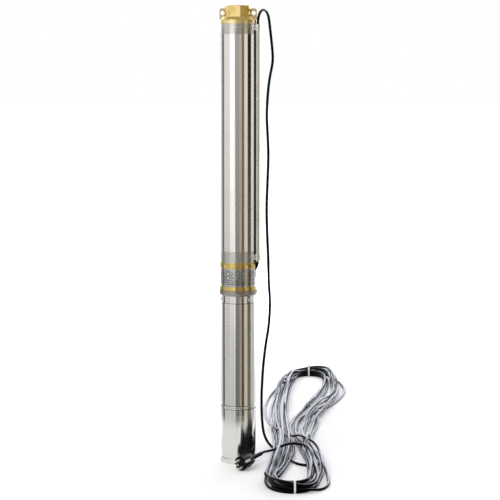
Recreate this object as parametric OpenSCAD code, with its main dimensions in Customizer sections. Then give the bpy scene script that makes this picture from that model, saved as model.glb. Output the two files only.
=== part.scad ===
// Borehole submersible pump: a multistage pump end on a single-phase motor, with the
// capacitor in the foot and the mains cable in a guard along the casing.
// Millimetres, +Z up. The pump stands on its foot with the axis on Z.

/* [Foot and capacitor chamber] */
// How far the foot stands out past the motor's shell
base_over = 2; // [1:0.5:5]
// Height of the foot's rim
base_h = 14; // [10:1:24]
// Thickness of the foot's floor
base_floor = 5; // [3:0.5:8]
// Length of the chamber's shell
chamber_len = 127; // [115:1:160]
// Diameter of the capacitor's can
capacitor_d = 42; // [30:1:50]
// Length of the capacitor's can
capacitor_len = 78; // [50:1:85]

/* [Motor] */
// Outside diameter of the motor's shells
motor_d = 88; // [86:1:94]
// Wall of the motor's shells
shell_wall = 1.5; // [1:0.1:2.2]
// Length of the motor's shell
motor_len = 263.5; // [245:0.5:320]
// How far the joint ring stands out past the shells
ring_over = 1.5; // [0.5:0.5:4]
// Height of the joint ring
ring_h = 8; // [6:1:16]
// Length of the stator's stack of laminations
stack_len = 130; // [90:1:140]
// Diameter of the rotor
rotor_d = 45; // [42:1:48]
// Air gap between rotor and stator
air_gap = 0.6; // [0.4:0.1:1]
// Bore of the ball bearings
bearing_id = 17; // [15:1:18]
// Outside diameter of the ball bearings
bearing_od = 40; // [38:1:42]
// Width of the ball bearings
bearing_w = 12; // [10:1:14]
// Diameter of the bearings' balls
ball_d = 6.7; // [5.5:0.1:7]

/* [Neck and flange] */
// How far the neck is set in from the motor's shell
neck_set = 1.5; // [0.5:0.5:3]
// Height of the neck
neck_h = 18; // [18:1:28]
// Wall of the neck's skirt
skirt_wall = 2.5; // [2:0.5:4]
// Diameter of the flange
flange_d = 97; // [94:1:104]
// Height of the flange
flange_h = 13; // [10:1:16]
// Diameter of the neck screws' heads
neck_head_d = 10; // [8:0.5:12]

/* [Intake] */
// Diameter of the lower ring
lower_ring_d = 96; // [93:1:100]
// Height of the lower ring
lower_ring_h = 11; // [7:1:14]
// Height of the intake's window
window_h = 45; // [42:1:64]
// Diameter of the upper ring
upper_ring_d = 93; // [92:1:97]
// Height of the upper ring
upper_ring_h = 16; // [12:1:22]
// Length of the spigot that the casing is rolled onto
intake_spigot = 28; // [24:1:32]
// Thickness of the strainer's sheet
strainer_wall = 0.8; // [0.6:0.1:1.2]
// Diameter of the strainer's holes
strainer_hole_d = 3.4; // [2:0.1:3.8]
// Distance between the strainer's holes
strainer_pitch = 6; // [5.2:0.1:9]

/* [Pump end] */
// Outside diameter of the casing
casing_d = 90; // [88:1:91]
// Wall of the casing
casing_wall = 1.5; // [1.2:0.1:2]
// Number of stages
stage_count = 8; // [3:1:8]
// Height of one stage
stage_pitch = 62.75; // [56:0.25:72]
// Diameter of the impellers
impeller_d = 70; // [62:1:74]
// Height of an impeller from its eye plate to its back
impeller_h = 20; // [17:1:24]
// Diameter of an impeller's eye
eye_d = 36; // [32:1:42]
// Number of vanes on an impeller
impeller_vanes = 6; // [5:1:7]
// Number of vanes in a bowl
bowl_vanes = 7; // [5:1:9]
// Width of the pump shaft's hexagon across its flats
shaft_af = 11; // [9:0.5:12]
// Height of the discharge bearing's spider
spider_h = 28; // [28:1:36]
// Spacing of the rolled grooves at the casing's ends
roll_pitch = 4.6; // [4:0.1:6]

/* [Outlet head] */
// Diameter of the head's rim
head_d = 93; // [92:1:96]
// Height of the rim
rim_h = 9.5; // [5:0.5:12]
// Height of the sloped shoulder
shoulder_h = 8; // [7:1:20]
// Width of the octagon across its flats
octagon_af = 62; // [58:1:64]
// Height of the octagon
octagon_h = 28; // [26:1:36]
// Length of the spigot inside the casing
head_spigot = 26; // [24:1:34]
// Bore of the outlet's pipe thread
outlet_d = 44.8; // [42:0.1:46]
// Depth of the outlet's pipe thread
outlet_depth = 24; // [18:1:27]
// Diameter of the rope eyes
eye_hole_d = 10; // [8:0.5:11]
// Thickness of the rope eyes
lug_t = 9; // [7:0.5:12]
// Diameter of the valve's seat
seat_d = 30; // [26:1:31]
// How far the valve lifts
valve_lift = 8; // [5:0.5:9]

/* [Cable and guard] */
// Diameter of the cable
cord_d = 7; // [6:0.5:8]
// Thickness of the guard's sheet
guard_wall = 0.8; // [0.6:0.1:1.2]
// Where the guard runs round the casing, from the right towards the front
guard_turn = 14; // [0:1:30]
// Height of the clips over the guard's ends
clip_h = 13; // [10:1:18]
// Height of the cable's hank
hank_h = 22; // [14:1:24]

/* [Plug] */
// Diameter of the plug's face
plug_d = 37; // [35:0.5:39]
// Length of the plug's body
plug_len = 50; // [44:1:56]
// Length of the plug's cable boot
boot_len = 44; // [30:1:50]
// Diameter of the plug's pins
pin_d = 4.8; // [4:0.1:4.8]
// Length of the plug's pins
pin_len = 19; // [17:0.5:20]

/* [Hidden] */
$fn = 96;
// Clearance of pieces that sit in each other
fit = 0.1;
// Radial clearance of pieces that run in each other
run = 0.1;
// Radial clearance of the wear rings and other wide running gaps
wide_run = 0.5;
// How far a cutter reaches past what it cuts
over = 1;

// Levels, from the foot up
z_joint = base_h + chamber_len;
z_motor = z_joint + ring_h;
z_neck = z_motor + motor_len;
z_flange = z_neck + neck_h;
z_intake = z_flange + flange_h;
z_window = z_intake + lower_ring_h;
z_upper_ring = z_window + window_h;
z_casing = z_upper_ring + upper_ring_h;
z_suction = z_casing + intake_spigot;
suction_t = 10;
z_stage = z_suction + suction_t;
z_spider = z_stage + stage_count * stage_pitch;
z_spigot = z_spider + spider_h;
z_head = z_spigot + head_spigot;
z_shoulder = z_head + rim_h;
z_octagon = z_shoulder + shoulder_h;
z_top = z_octagon + octagon_h;

// Radii of the shells and of what sits in them
r_shell = motor_d / 2;
r_shell_in = r_shell - shell_wall;
r_insert = r_shell_in - fit;
r_neck = r_shell - neck_set;
r_skirt_in = r_neck - skirt_wall;
r_casing = casing_d / 2;
r_bore = r_casing - casing_wall;
r_spigot = r_bore - fit;

// Seals
o_ring_d = 2.8;
o_ring_room = 0.1;

// Lower and upper brackets, and the bearings in them
insert_len = 24;
bracket_wall = 5;
bearing_lip = 2;
bearing_bed = 3;
z_low_bearing = z_motor + bearing_bed;
top_insert = 15 + bearing_w + bearing_lip;
z_top_bearing = z_neck - top_insert + bearing_lip;
ball_count = 7;
ball_pitch_r = (bearing_id + bearing_od) / 4;
ball_play = 0.08;
race_gap = 2;
cage_t = 1.6;

// Motor shaft and its seal
r_journal = bearing_id / 2;
r_shaft_body = r_journal + 2.5;
r_seal_shaft = r_journal - 0.5;
r_drive = r_seal_shaft - 1;
drive_flat = 2 * r_drive - 3;
shaft_tip_h = 1.5;
seal_seat_h = 8;
seal_seat_t = 6;
z_seal_seat = z_neck - 6;
z_seal_face = z_seal_seat + seal_seat_h;
seal_len = 14;
seal_gap = 0.05;
seal_clear = 1;
face_t = 3;
bellows_t = 4;

// Motor lead, gland and flange register, set out from the bearing
lead_r = bearing_od / 2 + cord_d / 2 + 3;
gland_r = cord_d / 2 + 3;
gland_h = 9;
r_seal_room = lead_r - gland_r - 1;
r_flange_hole = lead_r + gland_r + 1;
register_wall = 3;
r_register = r_flange_hole + register_wall;
register_h = 7;
flange_edge = 6;

// Motor lead's bend out to the guard: steps across and heights from the levels that it passes
lead_across = [1, 8, 9, 2];
lead_rise = 6;
lead_low = 12;
lead_mid = 22;
lead_high = 7;
lead_straight = 20;

// Stator
slot_count = 24;
slot_w = 3.4;
slot_depth = 10;
slot_mouth = 1.6;
slot_skin = 1.8;
slot_play = 0.2;
end_turn_h = 20;
r_stator_bore = rotor_d / 2 + air_gap;
r_slot = r_stator_bore + slot_skin;
z_stack = z_motor + (motor_len - stack_len) / 2;
rotor_ring_h = 4;

// Capacitor and its cup
cup_wall = 3;
cup_h = 34;
terminal_h = 9;
terminal_w = 6;
terminal_t = 1;

// Neck screws
neck_screw_count = 3;
neck_screw_turn = -48;
neck_screw_d = 5;
neck_head_h = 3.2;
neck_grip = 7;
socket_af = 4;
socket_depth = 1.6;
neck_screw_up = 8.4;
z_neck_screw = z_neck + neck_screw_up;

// Intake's inside
passage_r = 32;
rib_count = 4;
rib_w = 10;
rib_depth = 9;
r_strainer = r_casing;
r_strainer_in = r_strainer - strainer_wall;
lip_h = 2.6;
lip_groove_h = 0.8;
lip_groove_d = 1.4;
cable_slot_w = cord_d + 2;
cable_slot_depth = 5;
strainer_slot_h = 24;

// Coupling and pump shaft
coupling_r = 13;
coupling_len = 64;
coupling_drop = 5;
z_coupling = z_intake - coupling_drop;
z_coupling_mid = z_coupling + coupling_len / 2;
shaft_end_gap = 1;
hub_r = shaft_af / 2 / cos(30) + 2.2;
collar_h = 5;
sleeve_len = 20;
sleeve_r = hub_r + 1.4;
nut_h = 6;
nut_af = 16;
bush_wall = 4;
spider_hub_wall = 3.5;
spider_ring_wall = 7;
spider_arms = 4;
arm_w = 6;
arm_h = 14;

// Stages, with the arcs of the vanes as shares of the radius that they end at
impeller_arc = [0.55, 0.68];
bowl_arc = [0.5, 0.62];
vane_set = 2;
vane_t = 1.8;
shroud_t = 2;
eye_wall = 2;
front_gap = 6;
skirt_drop = 3;
plate_t = 4;
deck_t = 3;
deck_gap = 5;
bowl_wall = 2.5;
deck_z = impeller_h + deck_gap;
r_impeller = impeller_d / 2;
r_eye = eye_d / 2;
r_deck = r_impeller + 1;
r_bowl_in = r_spigot - bowl_wall;

// Rolled grooves
groove_r = 0.9;
groove_margin = 2.4;

// Outlet head's inside, and the valve
octagon_turn = 9.2;
r_octagon = octagon_af / 2 / cos(22.5);
chamfer_h = 3;
chamfer_in = 3.4;
edge_r = 1.5;
shoulder_step = 7.5;
r_shoulder_top = octagon_af / 2 + shoulder_step;
lug_top = 7;
lug_edge = 6;
lug_root = 2;
lug_out = head_d / 2;
eye_rim = 3;
lug_hole_x = lug_out - eye_hole_d / 2 - eye_rim;
eye_drop = 19;
z_lug_hole = z_top - eye_drop;
r_entry = 34;
entry_h = 8;
seat_rise = 11;
z_seat = z_spigot + seat_rise;
r_seat = seat_d / 2;
poppet_t = 8;
spring_wire = 1.3;
spring_turns = 5;
spring_spare = 2.2;
guide_rise = poppet_t + valve_lift + (spring_turns + 1) * spring_wire + spring_spare;
z_guide = z_seat + guide_rise;
guide_t = 5;
guide_step = 1.5;
r_guide = outlet_d / 2 - 2 * fit;
r_chamber = r_guide - guide_step;
run_out = 1.6;
poppet_over = 2.5;
nose_h = 4;
stem_r = 3;
stem_past = 5;
guide_hub_r = 6.5;
guide_ring_wall = 3.5;
guide_arms = 3;
guide_arm_w = 4;
spring_r = 7.5;

// Guard: the cable's own radius from the axis, and the channel round it
guard_az = -guard_turn;
cable_gap = 1.8;
r_cable = r_casing + cable_gap + cord_d / 2;
channel_half = cord_d / 2 + 1.2;
channel_out = channel_half + guard_wall;
guard_end_gap = 0.5;
clip_wall = 1;
clip_tab = 12;
clip_inset = 2.5;
low_clip_inset = 5.5;
clip_half = channel_out + fit + clip_wall;
r_clip = r_casing + fit + clip_wall;
clip_levels = [z_casing + low_clip_inset, z_head - clip_inset - clip_h];
guard_screw_r = 2;
guard_head_r = 3.6;
guard_head_h = 2.2;
guard_screw_turn = asin((clip_half + clip_tab / 2) / r_clip);
guard_screw_len = 7;

// Plug's place: centre of its face on the floor, and which way its body lies
plug_x = 5.5;
plug_y = -110;
plug_turn = 56;
plug_tilt = 4.5;
plug_roll = -25;
plug_edge = 2;
plug_front = 27;
grip_r = 16.5;
grip_end_w = 13;
grip_end_h = 18;
pin_spacing = 19;
earth_off = 10;
earth_d = 5;
earth_sleeve = 0.6;
earth_depth = 16;
clip_groove_w = 7;
clip_groove_d = 3.5;
earth_clip_t = 1.2;
boot_r = 6.2;
boot_tip = 1.7;
boot_grooves = 5;
plug_reach = plug_len + boot_len;

// Route of the hanging cable, from the guard's top over and down to the hank
cord_exit = [r_cable * cos(guard_az), r_cable * sin(guard_az), z_head];
drop_route = [
    cord_exit, cord_exit + [0.5, 0.5, 8], [51.5, -8.5, 1126], [57, 0, 1136], [64, 14, 1140.5],
    [70.5, 28, 1137], [75.5, 39, 1125], [78, 44, 1109], [81, 48, 1090], [85, 50, 1054], [87, 50, 1018],
    [80, 50, 980], [75, 50, 940], [72, 50, 880], [75, 50, 815], [76, 52, 770], [74, 54, 710],
    [72, 55, 650], [73, 56, 590], [76, 57, 520], [78, 60, 450], [81, 64, 400], [78, 72, 340],
    [70, 80, 285], [64, 88, 230], [60, 97, 160], [60, 106, 105], [63, 114, 60], [70, 118, 26],
    [80, 112, 10], [92, 96, 5], [104, 78, cord_d / 2]
];

// Route of the plug's lead, from the hank over it to the plug's boot
plug_way = [cos(plug_turn) * cos(plug_tilt), sin(plug_turn) * cos(plug_tilt), sin(plug_tilt)];
plug_seat = [plug_x, plug_y, plug_d / 2];
tail_end = plug_seat + plug_reach * plug_way;
boot_straight = 14;
tail_route = [
    [190, -95, hank_h - 4], [187, -40, hank_h + 2], [182, 4, hank_h + 5], [172, 31, hank_h + 6],
    [153, 42, hank_h + 6], [132, 37, hank_h + 6], [109, 22, hank_h + 5], [86, 2, hank_h + 4],
    tail_end + boot_straight * plug_way, tail_end
];

// Middle line of the hank on the floor, with half its width at each point
hank_line = [
    [176, 200, 20], [192, 430, 34], [238, 640, 34], [274, 830, 38], [272, 1000, 26], [216, 1082, 14],
    [160, 1000, 22], [138, 840, 28], [122, 600, 34], [118, 370, 30], [122, 110, 22], [98, -90, 24],
    [81, -215, 20], [96, -292, 14], [143, -316, 12], [168, -286, 16], [184, -222, 22], [197, -100, 24],
    [194, 40, 22]
];

// Ring between two radii
module ring(r_out, r_in, h) {
    difference() {
        cylinder(r = r_out, h = h);
        translate([0, 0, -over]) cylinder(r = r_in, h = h + 2 * over);
    }
}

// Disc with both outer edges rounded
module rounded_disc(r, h, edge) {
    rotate_extrude() {
        square([r - edge, h]);
        translate([0, edge]) square([r, h - 2 * edge]);
        for (z = [edge, h - edge]) translate([r - edge, z]) circle(edge);
    }
}

// Cuts for O-rings in a spigot of radius r, at height z
module o_ring_groove(r, z) {
    translate([0, 0, z - o_ring_d / 2 - o_ring_room])
        ring(r + over, r - o_ring_d - o_ring_room, o_ring_d + 2 * o_ring_room);
}

// O-ring in the groove of a spigot of radius r, at height z
module o_ring(r, z) {
    translate([0, 0, z]) rotate_extrude() translate([r - o_ring_d / 2, 0]) circle(d = o_ring_d);
}

// Round bar pointing out from the axis at a level, from radius r0 to r1
module radial_bar(turn, z, r, r0, r1) {
    rotate([0, 0, turn]) translate([r0, 0, z]) rotate([0, 90, 0]) cylinder(r = r, h = r1 - r0);
}

// One curved vane between two radii: a strip of an arc, by the arc's centre on X and its radius
module vane_outline(r_in, r_out, arc) {
    intersection() {
        difference() {
            circle(r_out);
            circle(r_in);
        }
        difference() {
            translate([arc[0], 0]) circle(arc[1] + vane_t / 2);
            translate([arc[0], 0]) circle(arc[1] - vane_t / 2);
        }
        translate([-r_out, 0]) square([2 * r_out, r_out]);
    }
}

// Hexagonal or octagonal bar by its width across the flats
module flat_bar(af, sides, h) {
    cylinder(r = af / 2 / cos(180 / sides), h = h, $fn = sides);
}

// Smooth route through points, with a number of steps between each pair
function spline_point(a, b, c, d, t) =
    0.5 * (2 * b + (c - a) * t + (2 * a - 5 * b + 4 * c - d) * t * t + (3 * b - a - 3 * c + d) * t * t * t);
function open_spline(p, steps) =
    let (n = len(p) - 1)
    concat(
        [for (i = [0 : n - 1], j = [0 : steps - 1])
            spline_point(p[max(i - 1, 0)], p[i], p[i + 1], p[min(i + 2, n)], j / steps)],
        [p[n]]
    );
function closed_spline(p, steps) =
    let (n = len(p))
    [for (i = [0 : n - 1], j = [0 : steps - 1])
        spline_point(p[(i + n - 1) % n], p[i], p[(i + 1) % n], p[(i + 2) % n], j / steps)];

// Frames along a route: directions, and side vectors carried from ring to ring without twist
function unit(v) = v / norm(v);
function directions(p) =
    [for (i = [0 : len(p) - 1]) unit(p[min(i + 1, len(p) - 1)] - p[max(i - 1, 0)])];
function square_to(v, t) = unit(v - (v * t) * t);
function carried(ways, i, v) = i == 0 ? square_to(v, ways[0]) : square_to(carried(ways, i - 1, v), ways[i]);

// Tube swept along a route, with flat ends square to given directions
module tube_along(route, r, sides, way_in, way_out) {
    n = len(route);
    inner = directions(route);
    ways = [for (i = [0 : n - 1]) i == 0 ? way_in : i == n - 1 ? way_out : inner[i]];
    rings = [for (i = [0 : n - 1])
        let (u = carried(ways, i, [0, 1, 0.01]), v = cross(ways[i], u))
        for (k = [0 : sides - 1]) route[i] + r * (cos(360 * k / sides) * u + sin(360 * k / sides) * v)];
    walls = [for (i = [0 : n - 2], k = [0 : sides - 1])
        let (a = i * sides + k, b = i * sides + (k + 1) % sides)
        each [[a, b + sides, b], [a, a + sides, b + sides]]];
    first = [for (k = [0 : sides - 1]) k];
    last = [for (k = [sides - 1 : -1 : 0]) (n - 1) * sides + k];
    polyhedron(rings, concat(walls, [first, last]));
}

// Outlet head with its octagon, shoulder, rope eyes, valve seat and casing spigot
module outlet_head() {
    color("goldenrod") difference() {
        union() {
            translate([0, 0, z_spigot]) cylinder(r = r_spigot, h = head_spigot + edge_r);
            translate([0, 0, z_head]) rounded_disc(head_d / 2, rim_h + edge_r, edge_r);
            translate([0, 0, z_shoulder])
                cylinder(r1 = head_d / 2 - edge_r, r2 = r_shoulder_top, h = shoulder_h);
            head_octagon();
            for (turn = [0, 180]) rotate([0, 0, turn]) rope_lug();
        }
        head_bores();
        for (turn = [0, 180]) rotate([0, 0, turn])
            translate([lug_hole_x, 0, z_lug_hole]) rotate([90, 0, 0])
                cylinder(d = eye_hole_d, h = lug_t + 2 * over, center = true);
        guard_screw_holes(clip_levels[1]);
    }
}

// Octagonal neck with its top corners turned down
module head_octagon() {
    translate([0, 0, z_shoulder]) intersection() {
        rotate([0, 0, octagon_turn]) flat_bar(octagon_af, 8, shoulder_h + octagon_h);
        rotate_extrude() polygon([
            [0, 0], [r_octagon + over, 0], [r_octagon + over, shoulder_h + octagon_h - chamfer_h],
            [r_octagon - chamfer_in, shoulder_h + octagon_h], [0, shoulder_h + octagon_h]
        ]);
    }
}

// Flat lug that stands on the shoulder beside the octagon
module rope_lug() {
    lug_h = octagon_h + shoulder_h - lug_top;
    root_r = outlet_d / 2 + run_out + lug_root;
    translate([0, lug_t / 2, z_shoulder]) rotate([90, 0, 0]) linear_extrude(lug_t) {
        translate([root_r, 0]) square([lug_out - root_r - lug_edge, lug_h]);
        translate([root_r, 0]) square([lug_out - root_r, lug_h - lug_edge]);
        translate([lug_out - lug_edge, lug_h - lug_edge]) circle(lug_edge);
    }
}

// Waterway through the head: entry, seat, valve chamber, guide's step, run-out and pipe thread
module head_bores() {
    translate([0, 0, z_spigot - over]) cylinder(r = r_entry, h = over);
    translate([0, 0, z_spigot]) cylinder(r1 = r_entry, r2 = r_seat, h = entry_h);
    translate([0, 0, z_spigot]) cylinder(r = r_seat, h = seat_rise + over);
    translate([0, 0, z_seat]) cylinder(r = r_chamber, h = guide_rise + over);
    translate([0, 0, z_guide]) cylinder(r = r_guide, h = guide_t + over);
    translate([0, 0, z_guide + guide_t])
        cylinder(r = outlet_d / 2 + run_out, h = z_top - outlet_depth - z_guide - guide_t);
    translate([0, 0, z_top - outlet_depth]) cylinder(d = outlet_d, h = outlet_depth + over);
}

// Check valve's disc, with its nose below the seat and its stem above
module valve_poppet() {
    color("dimgray") {
        translate([0, 0, z_seat]) cylinder(r = r_seat + poppet_over, h = poppet_t);
        translate([0, 0, z_seat - nose_h]) cylinder(r1 = r_seat - nose_h, r2 = r_seat - 1, h = nose_h);
        translate([0, 0, z_seat]) cylinder(r = stem_r, h = guide_rise + guide_t + stem_past);
    }
}

// Coil spring between the valve's disc and its guide
module valve_spring() {
    z0 = z_seat + poppet_t + spring_wire / 2;
    z1 = z_guide - spring_wire / 2;
    steps = 12 * spring_turns;
    coil = [for (i = [0 : steps]) [
        spring_r * cos(30 * i), spring_r * sin(30 * i), z0 + (z1 - z0) * i / steps]];
    color("silver") tube_along(coil, spring_wire / 2, 6, [0, 1, 0], [0, 1, 0]);
}

// Spider that guides the valve's stem and takes the spring
module valve_guide() {
    color("white") translate([0, 0, z_guide]) difference() {
        union() {
            ring(r_guide - fit, r_guide - guide_ring_wall, guide_t);
            cylinder(r = guide_hub_r + spring_wire, h = guide_t);
            for (i = [0 : guide_arms - 1]) rotate([0, 0, i * 360 / guide_arms])
                translate([0, -guide_arm_w / 2, 0])
                    cube([r_guide - guide_ring_wall / 2, guide_arm_w, guide_t]);
        }
        translate([0, 0, -over]) cylinder(r = stem_r + run, h = guide_t + 2 * over);
    }
}

// Casing tube with its ends rolled onto the spigots
module pump_casing() {
    color("gainsboro") difference() {
        translate([0, 0, z_casing]) ring(r_casing, r_bore, z_head - z_casing);
        rolled_grooves(z_casing, intake_spigot);
        rolled_grooves(z_spigot, head_spigot);
        guard_screw_holes(clip_levels[0]);
        guard_screw_holes(clip_levels[1]);
    }
}

// Row of round grooves over one spigot
module rolled_grooves(z, length) {
    count = floor((length - 2 * groove_margin) / roll_pitch);
    first = z + (length - count * roll_pitch) / 2;
    for (i = [0 : count]) translate([0, 0, first + i * roll_pitch])
        rotate_extrude() translate([r_casing, 0]) circle(groove_r);
}

// Spider with four arms that holds the discharge bearing
module discharge_spider() {
    r_hub = sleeve_r + run + bush_wall;
    color("lightgray") translate([0, 0, z_spider]) difference() {
        union() {
            ring(r_spigot, r_spigot - spider_ring_wall, spider_h);
            translate([0, 0, over]) cylinder(r = r_hub + spider_hub_wall, h = sleeve_len - 2 * over);
            for (i = [0 : spider_arms - 1]) rotate([0, 0, 45 + i * 360 / spider_arms])
                translate([r_hub, -arm_w / 2, over]) cube([r_spigot - r_hub - over, arm_w, arm_h]);
        }
        cylinder(r = r_hub, h = sleeve_len);
    }
}

// Rubber bush in the spider
module discharge_bush() {
    r_out = sleeve_r + run + bush_wall;
    color("black") translate([0, 0, z_spider + over])
        ring(r_out - fit, sleeve_r + run, sleeve_len - 2 * over);
}

// Hexagonal pump shaft with the collar that carries the impellers
module pump_shaft() {
    z0 = z_coupling_mid + shaft_end_gap;
    color("silver") {
        translate([0, 0, z0]) flat_bar(shaft_af, 6, z_spider + sleeve_len + nut_h + over - z0);
        translate([0, 0, z_stage - collar_h]) cylinder(r = hub_r, h = collar_h);
    }
}

// Round journal sleeve over the top of the pump shaft
module shaft_sleeve() {
    color("slategray") translate([0, 0, z_spider]) difference() {
        cylinder(r = sleeve_r, h = sleeve_len);
        translate([0, 0, -over]) flat_bar(shaft_af + 2 * fit, 6, sleeve_len + 2 * over);
    }
}

// Nut that clamps the sleeve and the impellers on the shaft
module shaft_nut() {
    color("silver") translate([0, 0, z_spider + sleeve_len]) difference() {
        flat_bar(nut_af, 6, nut_h);
        translate([0, 0, -over]) flat_bar(shaft_af + 2 * fit, 6, nut_h + 2 * over);
    }
}

// Plate that leads the water into the first impeller's eye
module suction_plate() {
    color("lightgray") translate([0, 0, z_suction]) difference() {
        cylinder(r = r_spigot, h = suction_t);
        translate([0, 0, -over]) cylinder(r = r_eye + wide_run, h = suction_t + 2 * over);
        translate([0, 0, -over])
            cylinder(r1 = passage_r, r2 = r_eye + wide_run, h = suction_t - plate_t + over);
    }
}

// Bowl of one stage: wall, deck, curved return vanes and the next eye's plate
module stage_bowl(i) {
    color("whitesmoke") translate([0, 0, z_stage + (i - 1) * stage_pitch]) {
        rotate_extrude() polygon([
            [r_spigot, 0], [r_spigot, stage_pitch], [r_eye + wide_run, stage_pitch],
            [r_eye + wide_run, stage_pitch - plate_t], [r_bowl_in, stage_pitch - plate_t], [r_bowl_in, 0]
        ]);
        translate([0, 0, deck_z]) ring(r_deck, hub_r + wide_run, deck_t);
        translate([0, 0, deck_z + deck_t / 2]) linear_extrude(stage_pitch - (plate_t + deck_t) / 2 - deck_z)
            for (k = [0 : bowl_vanes - 1]) rotate([0, 0, k * 360 / bowl_vanes]) mirror([0, 1])
                vane_outline(r_eye + vane_set, r_bowl_in + bowl_wall / 2, r_bowl_in * bowl_arc);
    }
}

// Closed impeller of one stage: eye skirt, two shrouds, swept vanes and a long hub
module impeller(i) {
    back_z = impeller_h - shroud_t;
    color("ivory") translate([0, 0, z_stage + (i - 1) * stage_pitch]) difference() {
        union() {
            cylinder(r = hub_r, h = stage_pitch);
            translate([0, 0, -skirt_drop]) ring(r_eye, r_eye - eye_wall, skirt_drop + front_gap + shroud_t);
            translate([0, 0, front_gap]) ring(r_impeller, r_eye - eye_wall, shroud_t);
            translate([0, 0, back_z]) cylinder(r = r_impeller, h = shroud_t);
            translate([0, 0, front_gap + shroud_t / 2]) linear_extrude(back_z - front_gap)
                for (k = [0 : impeller_vanes - 1]) rotate([0, 0, k * 360 / impeller_vanes])
                    vane_outline(r_eye - eye_wall - vane_set, r_impeller - vane_t / 4,
                                 r_impeller * impeller_arc);
        }
        translate([0, 0, -over]) flat_bar(shaft_af + 2 * fit, 6, stage_pitch + 2 * over);
    }
}

// Upper ring of the intake: a band with a thin lip over it, set off by a small groove
module lipped_ring(r, h) {
    band_h = h - lip_h - lip_groove_h;
    rounded_disc(r, band_h, edge_r);
    cylinder(r = r - lip_groove_d, h = h);
    translate([0, 0, h - lip_h]) rounded_disc(r, lip_h, lip_h / 3);
}

// Intake casting: lower ring with its register, ribs, upper ring and the casing's spigot
module intake_bracket() {
    r_rib = r_strainer_in - 2 * fit;
    color("darkgoldenrod") difference() {
        union() {
            translate([0, 0, z_intake - register_h]) cylinder(r = r_register, h = register_h + over);
            translate([0, 0, z_intake]) rounded_disc(lower_ring_d / 2, lower_ring_h, edge_r);
            translate([0, 0, z_upper_ring]) lipped_ring(upper_ring_d / 2, upper_ring_h);
            translate([0, 0, z_casing - over]) cylinder(r = r_spigot, h = intake_spigot + over);
            for (i = [0 : rib_count - 1]) rotate([0, 0, guard_az + (i + 0.5) * 360 / rib_count])
                intersection() {
                    translate([0, 0, z_window - over]) ring(r_rib, r_rib - rib_depth, window_h + 2 * over);
                    translate([0, -rib_w / 2, z_window - over]) cube([r_casing, rib_w, window_h + 2 * over]);
                }
        }
        translate([0, 0, z_intake - register_h - over])
            cylinder(r = r_flange_hole, h = register_h + lower_ring_h + 2 * over);
        translate([0, 0, z_upper_ring - over])
            cylinder(r = passage_r, h = upper_ring_h + intake_spigot + 2 * over);
        cable_slot(z_upper_ring - over, upper_ring_h + over, r_strainer_in - cable_slot_depth);
        guard_screw_holes(clip_levels[0]);
    }
}

// Slot for the cable, from radius r0 out
module cable_slot(z, h, r0) {
    rotate([0, 0, guard_az]) translate([r0, -cable_slot_w / 2, z]) cube([r_casing, cable_slot_w, h]);
}

// Perforated sheet round the intake's window, open where the cable goes in
module strainer() {
    columns = floor(2 * PI * r_strainer / strainer_pitch);
    rows = floor((window_h - strainer_pitch) / (strainer_pitch * cos(30)));
    z0 = z_window + (window_h - (rows - 1) * strainer_pitch * cos(30)) / 2;
    clear_turn = asin((cable_slot_w / 2 + strainer_hole_d / 2 + 1) / r_strainer);
    color("silver") difference() {
        translate([0, 0, z_window]) ring(r_strainer, r_strainer_in, window_h);
        cable_slot(z_upper_ring - strainer_slot_h, strainer_slot_h + over, r_strainer_in - over);
        for (row = [0 : rows - 1], k = [0 : columns - 1]) {
            turn = (k + (row % 2) / 2) * 360 / columns;
            z = z0 + row * strainer_pitch * cos(30);
            beside = turn > clear_turn && turn < 360 - clear_turn;
            if (beside || z < z_upper_ring - strainer_slot_h - strainer_hole_d)
                radial_bar(guard_az + turn, z, strainer_hole_d / 2, r_strainer_in - over, r_strainer + over);
        }
    }
}

// Sleeve that joins the motor's flats to the pump's hexagon
module shaft_coupling() {
    half = coupling_len / 2;
    color("silver") translate([0, 0, z_coupling]) difference() {
        cylinder(r = coupling_r, h = coupling_len);
        translate([0, 0, -over]) drive_end(half + over, fit);
        translate([0, 0, half]) flat_bar(shaft_af + 2 * fit, 6, half + over);
    }
}

// Round end with two flats
module drive_end(h, gap) {
    intersection() {
        cylinder(r = r_drive + gap, h = h);
        translate([-r_drive - over, -drive_flat / 2 - gap, 0])
            cube([2 * (r_drive + over), drive_flat + 2 * gap, h]);
    }
}

// Flange and skirt that join the pump end to the motor
module motor_flange() {
    color("dimgray") difference() {
        union() {
            translate([0, 0, z_neck]) cylinder(r = r_neck, h = neck_h + over);
            translate([0, 0, z_flange]) rotate_extrude() {
                square([flange_d / 2 - flange_edge, flange_h]);
                translate([0, flange_edge]) square([flange_d / 2, flange_h - flange_edge]);
                translate([flange_d / 2 - flange_edge, flange_edge]) circle(flange_edge);
            }
        }
        translate([0, 0, z_neck - over]) cylinder(r = r_skirt_in, h = neck_h + over);
        translate([0, 0, z_flange - over]) cylinder(r = r_flange_hole, h = flange_h + 2 * over);
        translate([0, 0, z_intake - register_h]) cylinder(r = r_register + fit, h = register_h + over);
        translate([0, 0, z_intake]) cylinder(r = flange_d, h = flange_edge);
        neck_screw_holes(r_skirt_in - over, r_neck + over);
    }
}

// Holes for the neck screws between two radii
module neck_screw_holes(r0, r1) {
    for (i = [0 : neck_screw_count - 1])
        radial_bar(neck_screw_turn - i * 360 / neck_screw_count, z_neck_screw,
                   neck_screw_d / 2 + fit, r0, r1);
}

// Domed socket screws round the neck
module neck_screws() {
    color("silver") for (i = [0 : neck_screw_count - 1])
        rotate([0, 0, neck_screw_turn - i * 360 / neck_screw_count])
            translate([r_neck, 0, z_neck_screw]) rotate([0, 90, 0]) neck_screw();
}

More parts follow.
